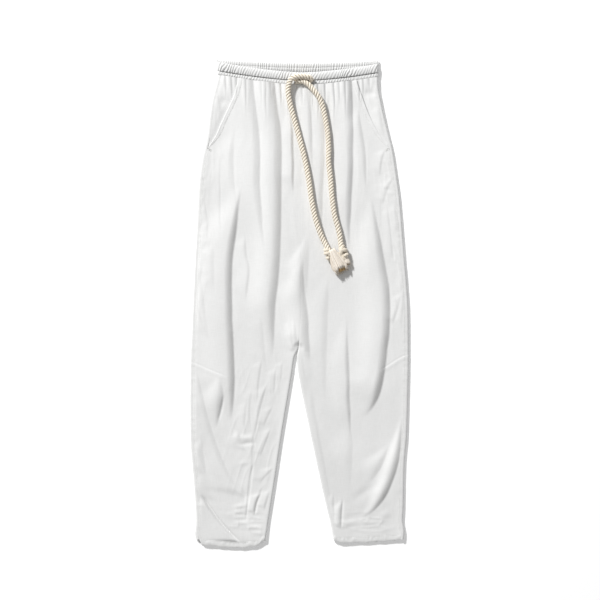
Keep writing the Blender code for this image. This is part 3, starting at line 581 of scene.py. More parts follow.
linen = makeLinen("linen", linenLook)
threadLook = dict(linenLook, colour=(0.80, 0.80, 0.78), shade=(0.70, 0.70, 0.68), bump=0.2)
thread = makeLinen("thread", threadLook)
# painted shade: a darker copy of the linen for the waist bands, so the raised bands, lit more strongly, come out
# less bright
shadedBandLook = dict(linenLook, colour=(0.735, 0.735, 0.73), shade=(0.665, 0.665, 0.658))
shadedBandLinen = makeLinen("shadedBandLinen", shadedBandLook)
ropeCotton = makeRope("rope", ropeLook)
# painted light: a lighter copy of the rope colours for the tassel yarns, whose bundle faces away from the lamp
litTuftLook = dict(ropeLook, light=(0.97, 0.91, 0.83), dark=(0.88, 0.79, 0.68), groove=(0.40, 0.31, 0.20))
litTuftCotton = makeRope("ropeTuftPaintedLight", litTuftLook)
coreLook = dict(ropeLook, light=(0.84, 0.62, 0.32), dark=(0.62, 0.42, 0.18), groove=(0.34, 0.19, 0.06))
coreCotton = makeRope("ropeCore", coreLook)
print("materials ready")


# Drawcord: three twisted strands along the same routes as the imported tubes

ropeSettings = {
    "thick": 11.0, "strandThick": 4.8, "strandOut": 3.15, "pitch": 18.5, "step": 0.9, "sides": 16, "lie": 0.4, "heart": 2.3,
    "overHeader": 9.0, "overCasing": 13.4, "overBack": 6.0}
routes = {
    "a": [
        (25, 443.5), (21.5, 448.5), (13, 451), (2, 451.5), (-8, 450.5), (-16, 446), (-20.5, 437), (-22, 427),
        (-21.5, 415), (-18.5, 399), (-14, 381), (-4, 345), (6, 308), (13, 278), (19, 246), (24, 210), (30,
            179),
        (37, 154), (45, 133), (53, 117)],
    "b": [
        (-8, 442.5), (0, 443), (10, 441), (19, 435), (27, 426), (36, 415), (43, 403), (48, 387), (52, 367),
        (56.5, 340), (58.5, 310), (58.5, 282), (62, 252), (65, 215), (70, 178), (77, 152), (81, 134), (83,
            118)]}
knots = {
    "a": {"x": 64.5, "y": 94.5, "lean": (0.447, -0.894), "half": 15.0, "wide": 10.5},
    "b": {"x": 87.5, "y": 93.5, "lean": (0.206, -0.979), "half": 16.0, "wide": 10.5}}


def surfaceUnder(x, y):
    # the highest outer point of the laid garment below each place
    x, y = np.asarray(x, float), np.asarray(y, float)
    rightSide = x < readTable(legs["r"]["inner"], y)
    height = np.where(rightSide, frontHeight("r", x, y), frontHeight("l", x, y))
    height = np.where(y > waistLine("frontHeaderLow", x) - 0.5, ropeSettings["overHeader"], height)
    height = np.where(y > waistLine("frontCasingLow", x) - 0.5, ropeSettings["overCasing"], height)
    return np.where(y > waistLine("frontCasingTop", x), ropeSettings["overBack"], height)


def lyingHeight(x, y, radius):
    high = surfaceUnder(x, y) + radius
    for ring in (1, 2):
        reach = radius * ring / 2.4
        for turn in range(6):
            angle = math.tau * turn / 6
            cloth = surfaceUnder(x + reach * math.cos(angle), y + reach * math.sin(angle))
            high = np.maximum(high, cloth + math.sqrt(radius * radius - reach * reach))
    return high + ropeSettings["lie"]


def throughPoints(points, step):
    # a smooth curve through the points, read again at even steps
    points = np.array(points, float)
    padded = np.vstack([2 * points[0] - points[1], points, 2 * points[-1] - points[-2]])
    line = []
    for i in range(1, len(padded) - 2):
        p0, p1, p2, p3 = padded[i - 1], padded[i], padded[i + 1], padded[i + 2]
        for k in range(24):
            t = k / 24
            line.append(0.5 * (2 * p1 + (p2 - p0) * t + (2 * p0 - 5 * p1 + 4 * p2 - p3) * t * t
                               + (3 * p1 - 3 * p2 + p3 - p0) * t ** 3))
    line.append(points[-1])
    line = np.array(line)
    run = np.concatenate([[0], np.cumsum(np.linalg.norm(np.diff(line, axis=0), axis=1))])
    places = np.linspace(0, run[-1], max(2, int(run[-1] / step) + 1))
    return np.stack([np.interp(places, run, line[:, k]) for k in range(3)], axis=1)


def knotHeight(knot):
    high = 0.0
    for along in (-0.8, -0.4, 0.0, 0.4, 0.8):
        for across in (-0.6, 0.0, 0.6):
            x = knot["x"] + knot["lean"][0] * along * knot["half"] + knot["lean"][1] * across * knot["wide"]
            y = knot["y"] + knot["lean"][1] * along * knot["half"] - knot["lean"][0] * across * knot["wide"]
            high = max(high, float(surfaceUnder(x, y)))
    return high + knot["wide"] * 0.86


def archLift(x, y):
    # the first bend of end A stands a little off the band
    return 5.0 * np.exp(-((x + 1) / 17) ** 2 - ((y - 450) / 13) ** 2)


def ropeLine(key):
    route, knot = routes[key], knots[key]
    radius = ropeSettings["thick"] / 2
    entry = (knot["x"] - knot["lean"][0] * (knot["half"] - 3),
        knot["y"] - knot["lean"][1] * (knot["half"] - 3))
    flat = throughPoints([(x, y, 0.0) for x, y in route] + [(*entry, 0.0)], 4.0)
    heights = lyingHeight(flat[:, 0], flat[:, 1], radius)
    if key == "a":
        heights = heights + archLift(flat[:, 0], flat[:, 1])
    for turn in range(12):
        middle = (heights[:-2] + heights[2:]) / 2
        heights[1:-1] = np.maximum(heights[1:-1], middle)
    kernel = np.array([1, 2, 3, 2, 1]) / 9
    heights = np.convolve(np.pad(heights, 2, mode="edge"), kernel, mode="valid") + 0.15
    count = len(heights)
    rise = ease((np.arange(count) - (count - 6)) / 5.0)
    heights = heights * (1 - rise) + knotHeight(knot) * rise
    dive = ease(1 - np.arange(count) / 2.5)  # the rope comes up out of the casing
    heights = heights - dive * 5.0
    return throughPoints(np.column_stack([flat[:, 0], flat[:, 1], heights]), ropeSettings["step"])


def frames(line):
    # along, side and up at each point of a line
    along = np.gradient(line, axis=0)
    along /= np.linalg.norm(along, axis=1, keepdims=True)
    up = np.tile(np.array([0.0, 0.0, 1.0]), (len(line), 1))
    side = np.cross(along, up)
    side /= np.linalg.norm(side, axis=1, keepdims=True)
    return along, side, np.cross(side, along)


def tubeGrid(line, radius, sides):
    along, side, up = frames(line)
    angles = np.linspace(0, math.tau, sides, endpoint=False)
    radius = np.broadcast_to(np.asarray(radius, float).reshape(-1, 1), (len(line), 1)) * np.ones((1, sides))
    return (line[:, None, :] + side[:, None, :] * (radius * np.cos(angles))[..., None]
            + up[:, None, :] * (radius * np.sin(angles))[..., None])


def tubesMesh(name, tubes, material, paintedLightLevels=None):
    # several closed tubes joined in one mesh, each with a UV map in metres: along, around
    points, faces, uvs = [], [], []
    start = 0
    for line, grid in tubes:
        rows, sides = grid.shape[:2]
        run = np.concatenate([[0], np.cumsum(np.linalg.norm(np.diff(line, axis=0), axis=1))]) * mm
        girth = np.linalg.norm(grid[:, 0] - grid[:, 1], axis=1).mean() * sides * mm
        points.append(grid.reshape(-1, 3))
        for i in range(rows - 1):
            for j in range(sides):
                a, b = start + i * sides + j, start + i * sides + (j + 1) % sides
                faces.append((a, b, b + sides, a + sides))
                v0, v1 = j / sides * girth, (j + 1) / sides * girth
                uvs.extend([(run[i], v0), (run[i], v1), (run[i + 1], v1), (run[i + 1], v0)])
        first = [start + j for j in range(sides)]
        last = [start + (rows - 1) * sides + j for j in range(sides)]
        faces.append(tuple(first[::-1]))
        uvs.extend([(run[0], 0.0)] * sides)
        faces.append(tuple(last))
        uvs.extend([(run[-1], 0.0)] * sides)
        start += rows * sides
    mesh = bpy.data.meshes.new(name)
    mesh.from_pydata([tuple(p) for p in np.concatenate(points) * mm], [], faces)
    layer = mesh.uv_layers.new(name="run")
    layer.data.foreach_set("uv", np.array(uvs, float).ravel())
    paintedLightLevel = mesh.attributes.new("paintedLightLevel", "FLOAT", "POINT")
    paintedLightLevel.data.foreach_set("value", np.ones(start) if paintedLightLevels is None else np.concatenate(paintedLightLevels))
    mesh.update()
    if signedVolume(mesh) < 0:
        mesh.flip_normals()
    mesh.shade_smooth()
    piece = bpy.data.objects.new(name, mesh)
    bpy.context.scene.collection.objects.link(piece)
    mesh.materials.append(material)
    return piece


def strandLines(line, settings, phase=0.0):
    along, side, up = frames(line)
    run = np.concatenate([[0], np.cumsum(np.linalg.norm(np.diff(line, axis=0), axis=1))])
    lines = []
    for strand in range(3):
        angle = -math.tau * run / settings["pitch"] + math.tau * strand / 3 + phase
        out = settings["strandOut"]
        lines.append(line + side * (out * np.cos(angle))[:, None] + up * (out * np.sin(angle))[:, None])
    return lines


def makeRopeEnd(key, exitPoint):
    line = ropeLine(key)
    tubes, paintedLightLevels = [], []
    for strand in strandLines(line, ropeSettings, phase=0.4):
        grid = tubeGrid(strand, ropeSettings["strandThick"] / 2, ropeSettings["sides"])
        tubes.append((strand, grid))
        # painted shade: each strand darkens towards the rope's axis, where the grooves between strands lie
        fromAxis = np.linalg.norm(grid - line[:, None, :], axis=-1)
        paintedLightLevels.append(ease((fromAxis.ravel() - 3.7) / 1.7))
    # a thin tube in the painted shade colour fills the space between the strands
    tubes.append((line, tubeGrid(line, ropeSettings["heart"], 8)))  # closes the space between the strands
    paintedLightLevels.append(np.zeros(len(line) * 8))
    piece = tubesMesh("rope" + key.upper(), tubes, ropeCotton, paintedLightLevels)
    finishPiece(piece, ["rope_" + key])
    length = float(np.linalg.norm(np.diff(line, axis=0), axis=1).sum())
    return piece, line, length


def wrapTube(middle, lean, wrap, key):
    # one fat strand wound round the knot, grooved along its yarns
    lean = np.array([*lean, 0.0])
    side = np.array([lean[1], -lean[0], 0.0])
    up = np.array([0.0, 0.0, 1.0])
    t = np.linspace(0, 1, 40)
    angle = wrap["start"] + math.tau * wrap["turns"] * t
    level = wrap["from"] + (wrap["to"] - wrap["from"]) * t
    out = wrap["out"] * (1 - 0.12 * level ** 2 / 60)
    line = (middle + lean * level[:, None] + side * (out * np.cos(angle))[:, None]
            + up * (0.85 * out * np.sin(angle))[:, None])
    sides = 36
    grid = tubeGrid(line, wrap["thick"] / 2 * (0.80 + 0.20 * np.sin(math.pi * t)), sides)
    turn = np.linspace(0, math.tau, sides, endpoint=False)[None, :] * 8 + t[:, None] * 14
    groove = 1.0 + 0.06 * np.sin(turn)
    grid = line[:, None, :] + (grid - line[:, None, :]) * groove[..., None]
    floor = middle[2] - knots[key]["wide"] * 0.86
    grid[..., 2] = np.maximum(grid[..., 2], floor)
    # painted shade: the wraps darken low down under the knot and along the grooves between their yarns
    low = np.clip((grid[..., 2] - floor) / 9.0, 0, 1)
    paintedLightLevel = (0.45 + 0.55 * low) * (0.76 + 0.24 * np.sin(turn))
    return line, grid, paintedLightLevel.ravel()


# each knot: its middle, the way it leans, and the strands wound round it
knotWraps = {
    "a": {"at": (58.0, 99.0), "lean": (0.30, -0.954), "wraps": [
        {"from": -12, "to": -7, "turns": 1.05, "start": 2.6, "thick": 6.8, "out": 4.4},
        {"from": -5, "to": 0, "turns": 1.05, "start": 3.4, "thick": 7.4, "out": 5.0},
        {"from": 2, "to": 8, "turns": 1.0, "start": 1.4, "thick": 7.4, "out": 4.6},
        {"from": -10, "to": 13, "turns": 0.35, "start": 2.0, "thick": 7.0, "out": 3.4},
        {"from": -9, "to": 14, "turns": 0.2, "start": 4.6, "thick": 7.0, "out": 2.6}]},
    "b": {"at": (88.0, 100.5), "lean": (0.25, -0.968), "wraps": [
        {"from": -14, "to": -8, "turns": 1.05, "start": 2.2, "thick": 7.4, "out": 4.6},
        {"from": -8, "to": 0, "turns": 0.95, "start": 0.4, "thick": 8.2, "out": 5.8},
        {"from": -3, "to": 6, "turns": -0.9, "start": 0.9, "thick": 8.0, "out": 6.0},
        {"from": -12, "to": 11, "turns": -0.42, "start": 1.7, "thick": 8.4, "out": 5.4},
        {"from": -12, "to": 13, "turns": 0.25, "start": 5.6, "thick": 8.0, "out": 3.6}]}}


def makeKnot(key):
    knot = knotWraps[key]
    middle = np.array([*knot["at"], knotHeight(knots[key])])
    tubes, paintedLightLevels = [], []
    for wrap in knot["wraps"]:
        line, grid, paintedLightLevel = wrapTube(middle, knot["lean"], wrap, key)
        tubes.append((line, grid))
        paintedLightLevels.append(paintedLightLevel)
    piece = tubesMesh("endKnot" + key.upper(), tubes, ropeCotton, paintedLightLevels)
    return finishPiece(piece, ["end_knot_" + key])


# the opened ends: where each bundle starts and ends, how wide it opens, and its count of yarns
tassels = {
    "a": {"from": (63.5, 108.0), "to": (86.5, 62.5), "rootWide": 6.0, "endWide": 16.5, "endHigh": 7.0,
        "yarns": 150,
          "thick": 1.8, "core": 64, "seed": 11},
    "b": {"from": (90.0, 94.0), "to": (97.0, 77.0), "rootWide": 5.0, "endWide": 6.5, "endHigh": 5.5,
        "yarns": 70,
          "thick": 1.7, "core": 20, "seed": 23}}


def looseFibre(start, lean, side, long, low, random):
    s = np.linspace(0, 1, 6)[:, None]
    root = start + lean * long * random.uniform(0.6, 0.95)
    away = side * random.uniform(-1.2, 1.4) + lean * random.uniform(0.1, 0.9)
    line = root + away * s * random.uniform(9, 17) + lean * s ** 2 * random.uniform(0, 4)
    line[:, 2] = low + random.uniform(1.0, 7.0) + 1.5 * np.sin(s[:, 0] * 2)
    return line


def makeTassel(key):
    # yarns fan from the knot over a flattening cone; those on top end sooner and show a brown core
    tassel = tassels[key]
    random = np.random.default_rng(tassel["seed"])
    start, end = np.array([*tassel["from"], 0.0]), np.array([*tassel["to"], 0.0])
    lean = (end - start) / np.linalg.norm(end - start)
    side = np.array([-lean[1], lean[0], 0.0])
    long = np.linalg.norm(end - start)
    low = surfaceHigh(key)
    rootHigh = knotHeight(knots[key]) + (2.5 if key == "a" else -1.0)
    t = np.linspace(0, 1, 10)
    pieces = []
    for part, count, material in (("tassel", tassel["yarns"], litTuftCotton), ("tasselCore", tassel["core"],
            coreCotton)):
        core = part == "tasselCore"
        tubes, paintedLightLevels = [], []
        for number in range(count):
            angle = math.tau * (number + random.uniform(-0.4, 0.4)) / count
            out = random.uniform(0.0, 0.72) if core else random.uniform(0.80, 1.0)
            above = max(0.0, math.sin(angle))
            reach = random.uniform(0.86, 0.96) if core else 1.0 - 0.20 * above * above + random.uniform(-0.05, 0.05)
            s = t * reach
            wide = tassel["rootWide"] + (tassel["endWide"] - tassel["rootWide"]) * np.minimum(1,
                s / 0.7) ** 0.9
            tall = tassel["rootWide"] * 0.9 + (tassel["endHigh"] - tassel["rootWide"] * 0.9) * s
            pull = 1.0 - 0.25 * ease((s - 0.72) / 0.28)  # the tips draw together again
            wave = 0.7 * np.sin(s * 9 + random.uniform(0, 6.3)) * s
            middle = rootHigh + (low + tassel["endHigh"] * 1.45 - rootHigh) * ease(s * 1.1)
            line = start + lean * (s * long)[:, None] + side * (wide * pull * out * math.cos(angle)
                + wave)[:, None]
            line[:, 2] = np.maximum(middle + tall * out * math.sin(angle), low + 0.8)
            thick = tassel["thick"] / 2 * (1.0 - 0.4 * s ** 3)
            tubes.append((line, tubeGrid(line, thick, 6)))
            # painted light: yarns on top of the bundle are lighter; each yarn also gets a random tone
            shade = 0.84 + 0.16 * above + random.uniform(-0.5, 0.12)
            paintedLightLevels.append(np.full(len(t) * 6, min(1.0, max(0.0, shade))))
        if not core:
            for number in range(14):
                line = looseFibre(start, lean, side, long, low, random)
                tubes.append((line, tubeGrid(line, 0.16, 4)))
                paintedLightLevels.append(np.full(24, 0.9))
        piece = tubesMesh(part + key.upper(), tubes, material, paintedLightLevels)
        finishPiece(piece, () if core else ["tassel_" + key])
        pieces.append(piece)
    return pieces


def surfaceHigh(key):
    endX, endY = tassels[key]["to"]
    return float(surfaceUnder(endX, endY))


ropes = {}
for key, exitPoint in (("a", (0.025, 0.4435, 0.011)), ("b", (-0.008, 0.4425, 0.011))):
    ropePiece, ropePath, ropeLength = makeRopeEnd(key, exitPoint)
    knotPiece = makeKnot(key)
    tasselPieces = makeTassel(key)
    print("rope", key, round(ropeLength), "mm")


# Rows and columns of a panel

def rowPlaces():
    zones = [(437, 395, 1.6), (395, -60, 3.0), (-60, -100, 2.0), (-100, -152, 1.3), (-152, -400, 2.8),
        (-400, -462, 2.0)]
    places = [437.0]
    for top, low, step in zones:
        count = int(round((top - low) / step))
        places += list(np.linspace(top, low, count + 1)[1:])
    return np.array(places)


def rowHeight(side, share, x, row, waistName):
    hemLine = hemY(side, share) + trousers["hemBand"] + trousers["seamGap"]
    return (row + (waistLine(waistName, x) - waistLines[waistName][0]) * ease((row - 335) / 102)
            + (hemLine + 462) * ease((-380 - row) / 82))


def settle(side, rows, shares, waistName, leftEdge, rightEdge):
    x, y = np.zeros_like(rows), rows.copy()
    for turn in range(6):
        a, b = leftEdge(y), rightEdge(y)
        x = a + (b - a) * shares
        y = rowHeight(side, shares, x, rows, waistName)
    return x, y


def rimGrid(side, lastY, tops, base, steps, front=True):
    # inner edge: level above the crotch, a quarter round towards the seam below it
    sign = legs[side]["sign"]
    amount = ease((trousers["crotchY"] + 19 - lastY) / 19)
    spread = trousers["crotchSpread"] * np.exp(-((lastY - trousers["crotchY"]) / 22.0) ** 2)
    columns = []
    for step in range(steps):
        angle = math.pi / 2 * (1 - (step + 1) / steps)
        inward, rise = 1 - math.cos(angle), math.sin(angle)
        away = (5.0 * (1 - (step + 1) / steps)) * (1 - amount) + inward * trousers["rimRound"] * amount
        split = base + np.where(tops > base, spread, -spread)
        x = innerX(side, lastY) + sign * away
        level = frontHeight(side, x, lastY) if front else tops
        z = level * (1 - amount) + (split + (tops - split) * rise) * amount
        columns.append(np.stack([x, lastY, z], axis=-1))
    return np.stack(columns, axis=1)


mouthRow = 308.0
panelSettings = {"columns": 118, "backColumns": 34, "rimSteps": 6}


def frontGrid(side, rows, lower=0.0, fine=True):
    sign = legs[side]["sign"]
    columns = panelSettings["columns"]
    rowGrid, shareGrid = np.meshgrid(rows, np.linspace(0, 1, columns), indexing="ij")

    def far(y):
        mouth = mouthX(side, y)
        seam = seamX(side, y) - sign * trousers["seamGap"] / 2
        return np.where(rowGrid >= mouthRow - 0.01, mouth, seam)

    def near(y):
        return innerX(side, y) + sign * 5.0

    x, y = settle(side, rowGrid, shareGrid, "frontHeaderLow", far, near)
    y = y - lower
    x = far(y) + (near(y) - far(y)) * shareGrid
    z = frontHeight(side, x, y, fine)
    body = np.stack([x, y, z], axis=-1)
    lastY = y[:, -1]
    tops = frontHeight(side, innerX(side, lastY) + sign * 3.2, lastY, fine)
    rim = rimGrid(side, lastY, tops, trousers["rimSplit"], panelSettings["rimSteps"])
    return np.concatenate([body, rim], axis=1)


def backGrid(side, rows, lower=0.0):
    sign = legs[side]["sign"]
    columns = panelSettings["backColumns"]
    rowGrid, shareGrid = np.meshgrid(rows, np.linspace(1, 0, columns), indexing="ij")

    def far(y):
        return outerX(side, y) - sign * trousers["rimRound"]

    def near(y):
        return innerX(side, y) + sign * 5.0

    x, y = settle(side, rowGrid, shareGrid, "backHeaderLow", far, near)
    y = y + 15.0 * ease((rowGrid - 400) / 37) - lower
    x = far(y) + (near(y) - far(y)) * shareGrid
    lift = 0.55 * creaseNoise(x + 0.2 * y, y, 24, 110, 31) * ease(softNoise(x, y, 60, 90, 33) + 0.2)
    lift = lift + 0.4 * creaseNoise(x - 0.3 * y, y, 30, 60, 37) * ease(softNoise(x, y, 80, 70, 39))
    edge = ease(shareGrid * 12) * ease((1 - shareGrid) * 12)
    body = np.stack([x, y, lift * edge], axis=-1)
    firstY = y[:, 0]
    rim = rimGrid(side, firstY, np.zeros_like(firstY), trousers["rimSplit"] - trousers["seamGap"],
        panelSettings["rimSteps"], False)
    rim = rim[:, ::-1]
    edgeX, edgeY = settle(side, rows.copy(), np.zeros_like(rows), "frontHeaderLow", lambda y: seamX(side,
        y), near)
    edgeY = edgeY - lower
    seam = seamX(side, edgeY) + sign * trousers["seamGap"] / 2
    top = frontHeight(side, seam, edgeY)
    wrap = []
    for step in range(1, 13):
        angle = -math.pi / 2 + math.pi * step / 12
        wrapX = outerX(side, edgeY) - sign * trousers["rimRound"] * (1 - math.cos(angle))
        wrap.append(np.stack([wrapX, edgeY, top / 2 * (1 + math.sin(angle))], axis=-1))
    innerWrap = outerX(side, edgeY) - sign * trousers["rimRound"]
    for share in (0.5, 1.0):
        x = innerWrap + (seam - innerWrap) * share
        wrap.append(np.stack([x, edgeY, frontHeight(side, x, edgeY)], axis=-1))
    return np.concatenate([rim, body, np.stack(wrap, axis=1)], axis=1)


def makePanels(side):
    rows = rowPlaces()
    grid = frontGrid(side, rows)
    grid[0, :, 1] -= trousers["seamGap"]
    front = meshFromGrid("frontCloth" + side.upper(), grid, linen, trousers["cloth"], True)
    finishPiece(front, ["front_panel_" + side])
    grid = backGrid(side, rows)
    grid[0, :, 1] -= trousers["seamGap"]
    back = meshFromGrid("backCloth" + side.upper(), grid, linen, trousers["cloth"], False)
    finishPiece(back, ["back_panel_" + side])
    return front, back


def makeHems(side):
    # turned hems: thicker and softly puckered along their stitching
    gap, band = trousers["seamGap"], trousers["hemBand"]
    frontStrips, backStrips = [], []
    for step in range(15):
        t = step / 14
        strip = frontGrid(side, np.array([-462.0]), gap + band * t)[0]
        x = strip[:, 0]
        pucker = 0.55 * softNoise(x, strip[:, 1], 9, 30, 41) + 0.3 * softNoise(x, strip[:, 1], 4, 9, 42)
        strip[:, 2] += 0.9 * pucker * math.sin(math.pi * min(1, t * 1.2)) + 0.15 * math.sin(math.pi * t)
        strip[:, 2] -= 0.12 * math.exp(-((t - 0.16) / 0.12) ** 2) + 1.1 * t ** 6
        strip[:, 1] += (0.8 * softNoise(x, x * 0, 11, 1, 43) + 0.4 * softNoise(x, x * 0, 5, 1, 44)) * t * t
        frontStrips.append(strip)
        backStrips.append(backGrid(side, np.array([-462.0]), gap + band * t)[0])
    front = meshFromGrid("hemFront" + side.upper(), np.array(frontStrips), linen, trousers["hemCloth"], True)
    back = meshFromGrid("hemBack" + side.upper(), np.array(backStrips), linen, trousers["hemCloth"], False)
    finishPiece(front, ["hem_front_" + side])
    finishPiece(back, ["hem_back_" + side])
    return front, back


def makeFacing(side):
    sign = legs[side]["sign"]
    rows = rowPlaces()
    rows = np.append(rows[rows > mouthRow + 2], mouthRow + 2)
    shares = np.concatenate([np.linspace(1, 0, 26), -np.linspace(0.1, 1, 8)])
    rowGrid, shareGrid = np.meshgrid(rows, shares, indexing="ij")

    def far(y):
        return seamX(side, y) - sign * trousers["seamGap"] / 2

    def mouth(y):
        return mouthX(side, y)

    x, y = settle(side, rowGrid, np.maximum(shareGrid, 0), "frontHeaderLow", mouth, far)
    tuck = 12.0 * ease((y - mouthRow) / 40 + 0.25)
    x = np.where(shareGrid > 0, mouth(y) + (far(y) - mouth(y)) * shareGrid,
        mouth(y) + sign * shareGrid * tuck)
    deep = 1.0 + (1.1 if side == "l" else 0.3) * ease((y - 350) / 60)
    drop = deep * (1 - ease(sign * (x - mouth(y)) / 13.0)) - 0.5 * np.minimum(0, shareGrid)
    grid = np.stack([x, y, frontHeight(side, x, y) - drop], axis=-1)
    grid[0, :, 1] = waistLine("frontHeaderLow", grid[0, :, 0]) - trousers["seamGap"]
    piece = meshFromGrid("pocketFacing" + side.upper(), grid, linen, trousers["cloth"], True)
    return finishPiece(piece, ["pocket_facing_" + side])


def makePocketEdge(side):
    sign = legs[side]["sign"]
    rows = rowPlaces()
    rows = np.append(rows[rows > mouthRow + 2], mouthRow + 2)
    shares = np.linspace(0, 1, 14)
    rowGrid, shareGrid = np.meshgrid(rows, shares, indexing="ij")
    x, y = settle(side, rowGrid, rowGrid * 0, "frontHeaderLow", lambda y: mouthX(side, y),
        lambda y: innerX(side, y))
    wide = 2.0 + 7.0 * ease((y - 306) / 40)
    x = x - sign * (0.1 + wide * shareGrid)
    roll = 0.25 * np.exp(-((shareGrid - 0.15) / 0.16) ** 2)
    press = -0.20 * np.exp(-((shareGrid - 0.82) / 0.10) ** 2)
    pucker = 0.25 * softNoise(x, y, 6, 7, 47)
    z = frontHeight(side, x, y) + 0.45 + roll + press + pucker - 0.4 * ease((shareGrid - 0.7) / 0.3)
    z = z - 0.3 * (1 - ease(shareGrid / 0.12))
    grid = np.stack([x, y, z], axis=-1)
    grid[0, :, 1] = waistLine("frontHeaderLow", grid[0, :, 0]) - trousers["seamGap"]
    piece = meshFromGrid("pocketEdge" + side.upper(), grid, linen, 0.8, True)
    return finishPiece(piece, ["pocket_edge_" + side])


# Waist: ruched casings and the narrow stitched header

waistSettings = {"ruche": 5.6, "columnStep": 0.5, "puff": 0.66}


def endRound(x, reach):
    low, high = trousers["waistEnds"]
    away = np.clip(np.minimum(x - low, high - x) / reach, 0, 1)
    return np.sqrt(np.clip(1 - (1 - away) ** 2, 0, 1))


def ruche(x, y, pitch, lean, seed):
    # uneven slanting puffs with narrow valleys between them, and finer ones over them
    slant = lean * y
    phase = math.pi * (x - slant) / pitch + 1.5 * softNoise(x, 0 * x, 13, 1, seed) + 0.7 * softNoise(x, y,
        8, 9, seed + 1)
    depth = 0.55 + 0.75 * ease(0.5 + 0.9 * softNoise(x, 0 * x, 11, 1, seed + 2))
    finer = 0.3 * np.sin(math.tau * x / 2.3 + 2 * softNoise(x, y, 6, 6, seed + 3))
    return (2 * np.abs(np.sin(phase)) - 1.2) * depth + finer


def makeBand(name, node, lowName, topName, profile, pitch, lean, seed, step):
    low, high = trousers["waistEnds"]
    x = np.linspace(low, high, int((high - low) / step) + 1)
    ring = []
    for share, height, puff, inward in profile(x):
        lowLine, topLine = waistLine(lowName, x), waistLine(topName, x)
        y = lowLine + (topLine - lowLine) * share
        wave = ruche(x, y, pitch, lean, seed)
        ring.append(np.stack([x, y + inward * wave * puff, height + waistSettings["puff"] * puff * wave],
            axis=-1))
    grid = np.stack(ring, axis=1)
    piece = meshFromGrid(name, grid, shadedBandLinen, closedRound=True)
    return finishPiece(piece, [node])


def frontCasingProfile(x):
    r = endRound(x, 9.0)
    base, top = 5.2 + 0 * x, 5.6 + 7.0 * r
    rows = []
    for step in range(20):
        t = step / 19
        share = 0.5 - 0.5 * math.cos(math.pi * t)
        foot = base + (4.0 * (1 - share) + 0.6) * r
        rise = max(0.0, math.sin(math.pi * t)) ** 0.8
        rows.append((share, foot + (top - foot) * rise, min(1.0, 0.25 + rise), (share - 0.5) * 1.2))
    return rows + [(0.75, base, 0.0, 0.0), (0.25, base, 0.0, 0.0)]


def backCasingProfile(x):
    r = endRound(x, 9.0)
    base = 4.2 * (1 - r)
    rows = []
    for step in range(24):
        t = step / 23
        share = 0.5 - 0.5 * math.cos(math.pi * t)
        top = 3.9 + 3.2 * share + 1.6 * np.exp(-(np.abs(x + 150) / 14) ** 2)
        rise = max(0.0, math.sin(math.pi * t)) ** 0.5
        groove = -1.0 * math.exp(-((share - 0.48) / 0.06) ** 2)
        rows.append((share, base + (top - base) * rise + groove * rise, 0.9 * rise, (share - 0.5) * 1.2))
    return rows + [(0.97, base, 0.0, 0.0), (0.5, base, 0.0, 0.0), (0.03, base, 0.0, 0.0)]


def frontHeaderProfile(x):
    r = endRound(x, 6.0)
    base, top = 5.2 + 0 * x, 5.8 + 3.6 * r
    rows = []
    for step in range(12):
        t = step / 11
        share = 0.5 - 0.5 * math.cos(math.pi * t)
        rise = max(0.0, math.sin(math.pi * t)) ** 0.6
        foot = base + (2.0 + 1.0 * share) * r
        rows.append((share, foot + (top - foot) * rise, 0.2 + 0.6 * rise, (0.5 - share) * 1.2))
    return rows + [(0.9, base, 0.0, 0.0), (0.1, base, 0.0, 0.0)]


def backHeaderProfile(x):
    r = endRound(x, 6.0)
    base, top = 3.2 * (1 - r), 2.2 + 2.4 * (1 - r)
    return [(0.0, base, 0.0, 0.0), (0.0, top * 0.8 + base * 0.2, 0.0, 0.0), (0.3, top, 0.3, 0.0),
            (0.7, top, 0.3, 0.0), (1.0, top * 0.8 + base * 0.2, 0.0, 0.0), (1.0, base, 0.0, 0.0)]


def makeWaist():
    step = waistSettings["columnStep"]
    pitch = waistSettings["ruche"]
    return [
        makeBand("casingFront", "waistband_front", "frontCasingLow", "frontCasingTop", frontCasingProfile,
            pitch, 0.45, 51, step),
        makeBand("casingBack", "waistband_back", "backCasingLow", "backCasingTop", backCasingProfile, 4.6,
            0.12, 57, step),
        makeBand("headerFront", "waist_header_front", "frontHeaderLow", "frontHeaderTop",
            frontHeaderProfile, 5.6, 0.3, 61, 0.7),
        makeBand("headerBack", "waist_header_back", "backHeaderLow", "backHeaderTop", backHeaderProfile,
            4.4, 0.1, 67, 1.6)]


# Stitches

stitchSettings = {"long": 2.6, "gap": 0.9, "thick": 0.28}


def stitchesAlong(line, settings=stitchSettings):
    # short raised threads end to end along a line
    run = np.concatenate([[0], np.cumsum(np.linalg.norm(np.diff(line, axis=0), axis=1))])
    points, faces = [], []
    place = settings["gap"]
    while place + settings["long"] < run[-1]:
        ends = [np.array([np.interp(p, run, line[:, k]) for k in range(3)]) for p in (place,
            place + settings["long"])]
        middle, along = (ends[0] + ends[1]) / 2, ends[1] - ends[0]
        side = np.array([-along[1], along[0], 0.0])
        side = side / np.linalg.norm(side) * settings["thick"]
        up = np.array([0, 0, settings["thick"]])
        start = len(points)
        points += [ends[0], middle - along * 0.25 + side + up * 0.3, middle - along * 0.25 + up,
            middle - along * 0.25 - side + up * 0.3,
                   middle + along * 0.25 + side + up * 0.3, middle + along * 0.25 + up, middle + along * 0.25 - side + up * 0.3,
                   ends[1], middle - up * 0.8]
        for face in ((0, 2, 1), (0, 3, 2), (1, 2, 5, 4), (2, 3, 6, 5), (4, 5, 7), (5, 6, 7), (0, 1, 8),
                (1, 4, 8), (4, 7, 8),
                     (7, 6, 8), (6, 3, 8), (3, 0, 8)):
            faces.append(tuple(start + k for k in face))
        place += settings["long"] + settings["gap"]
    return points, faces


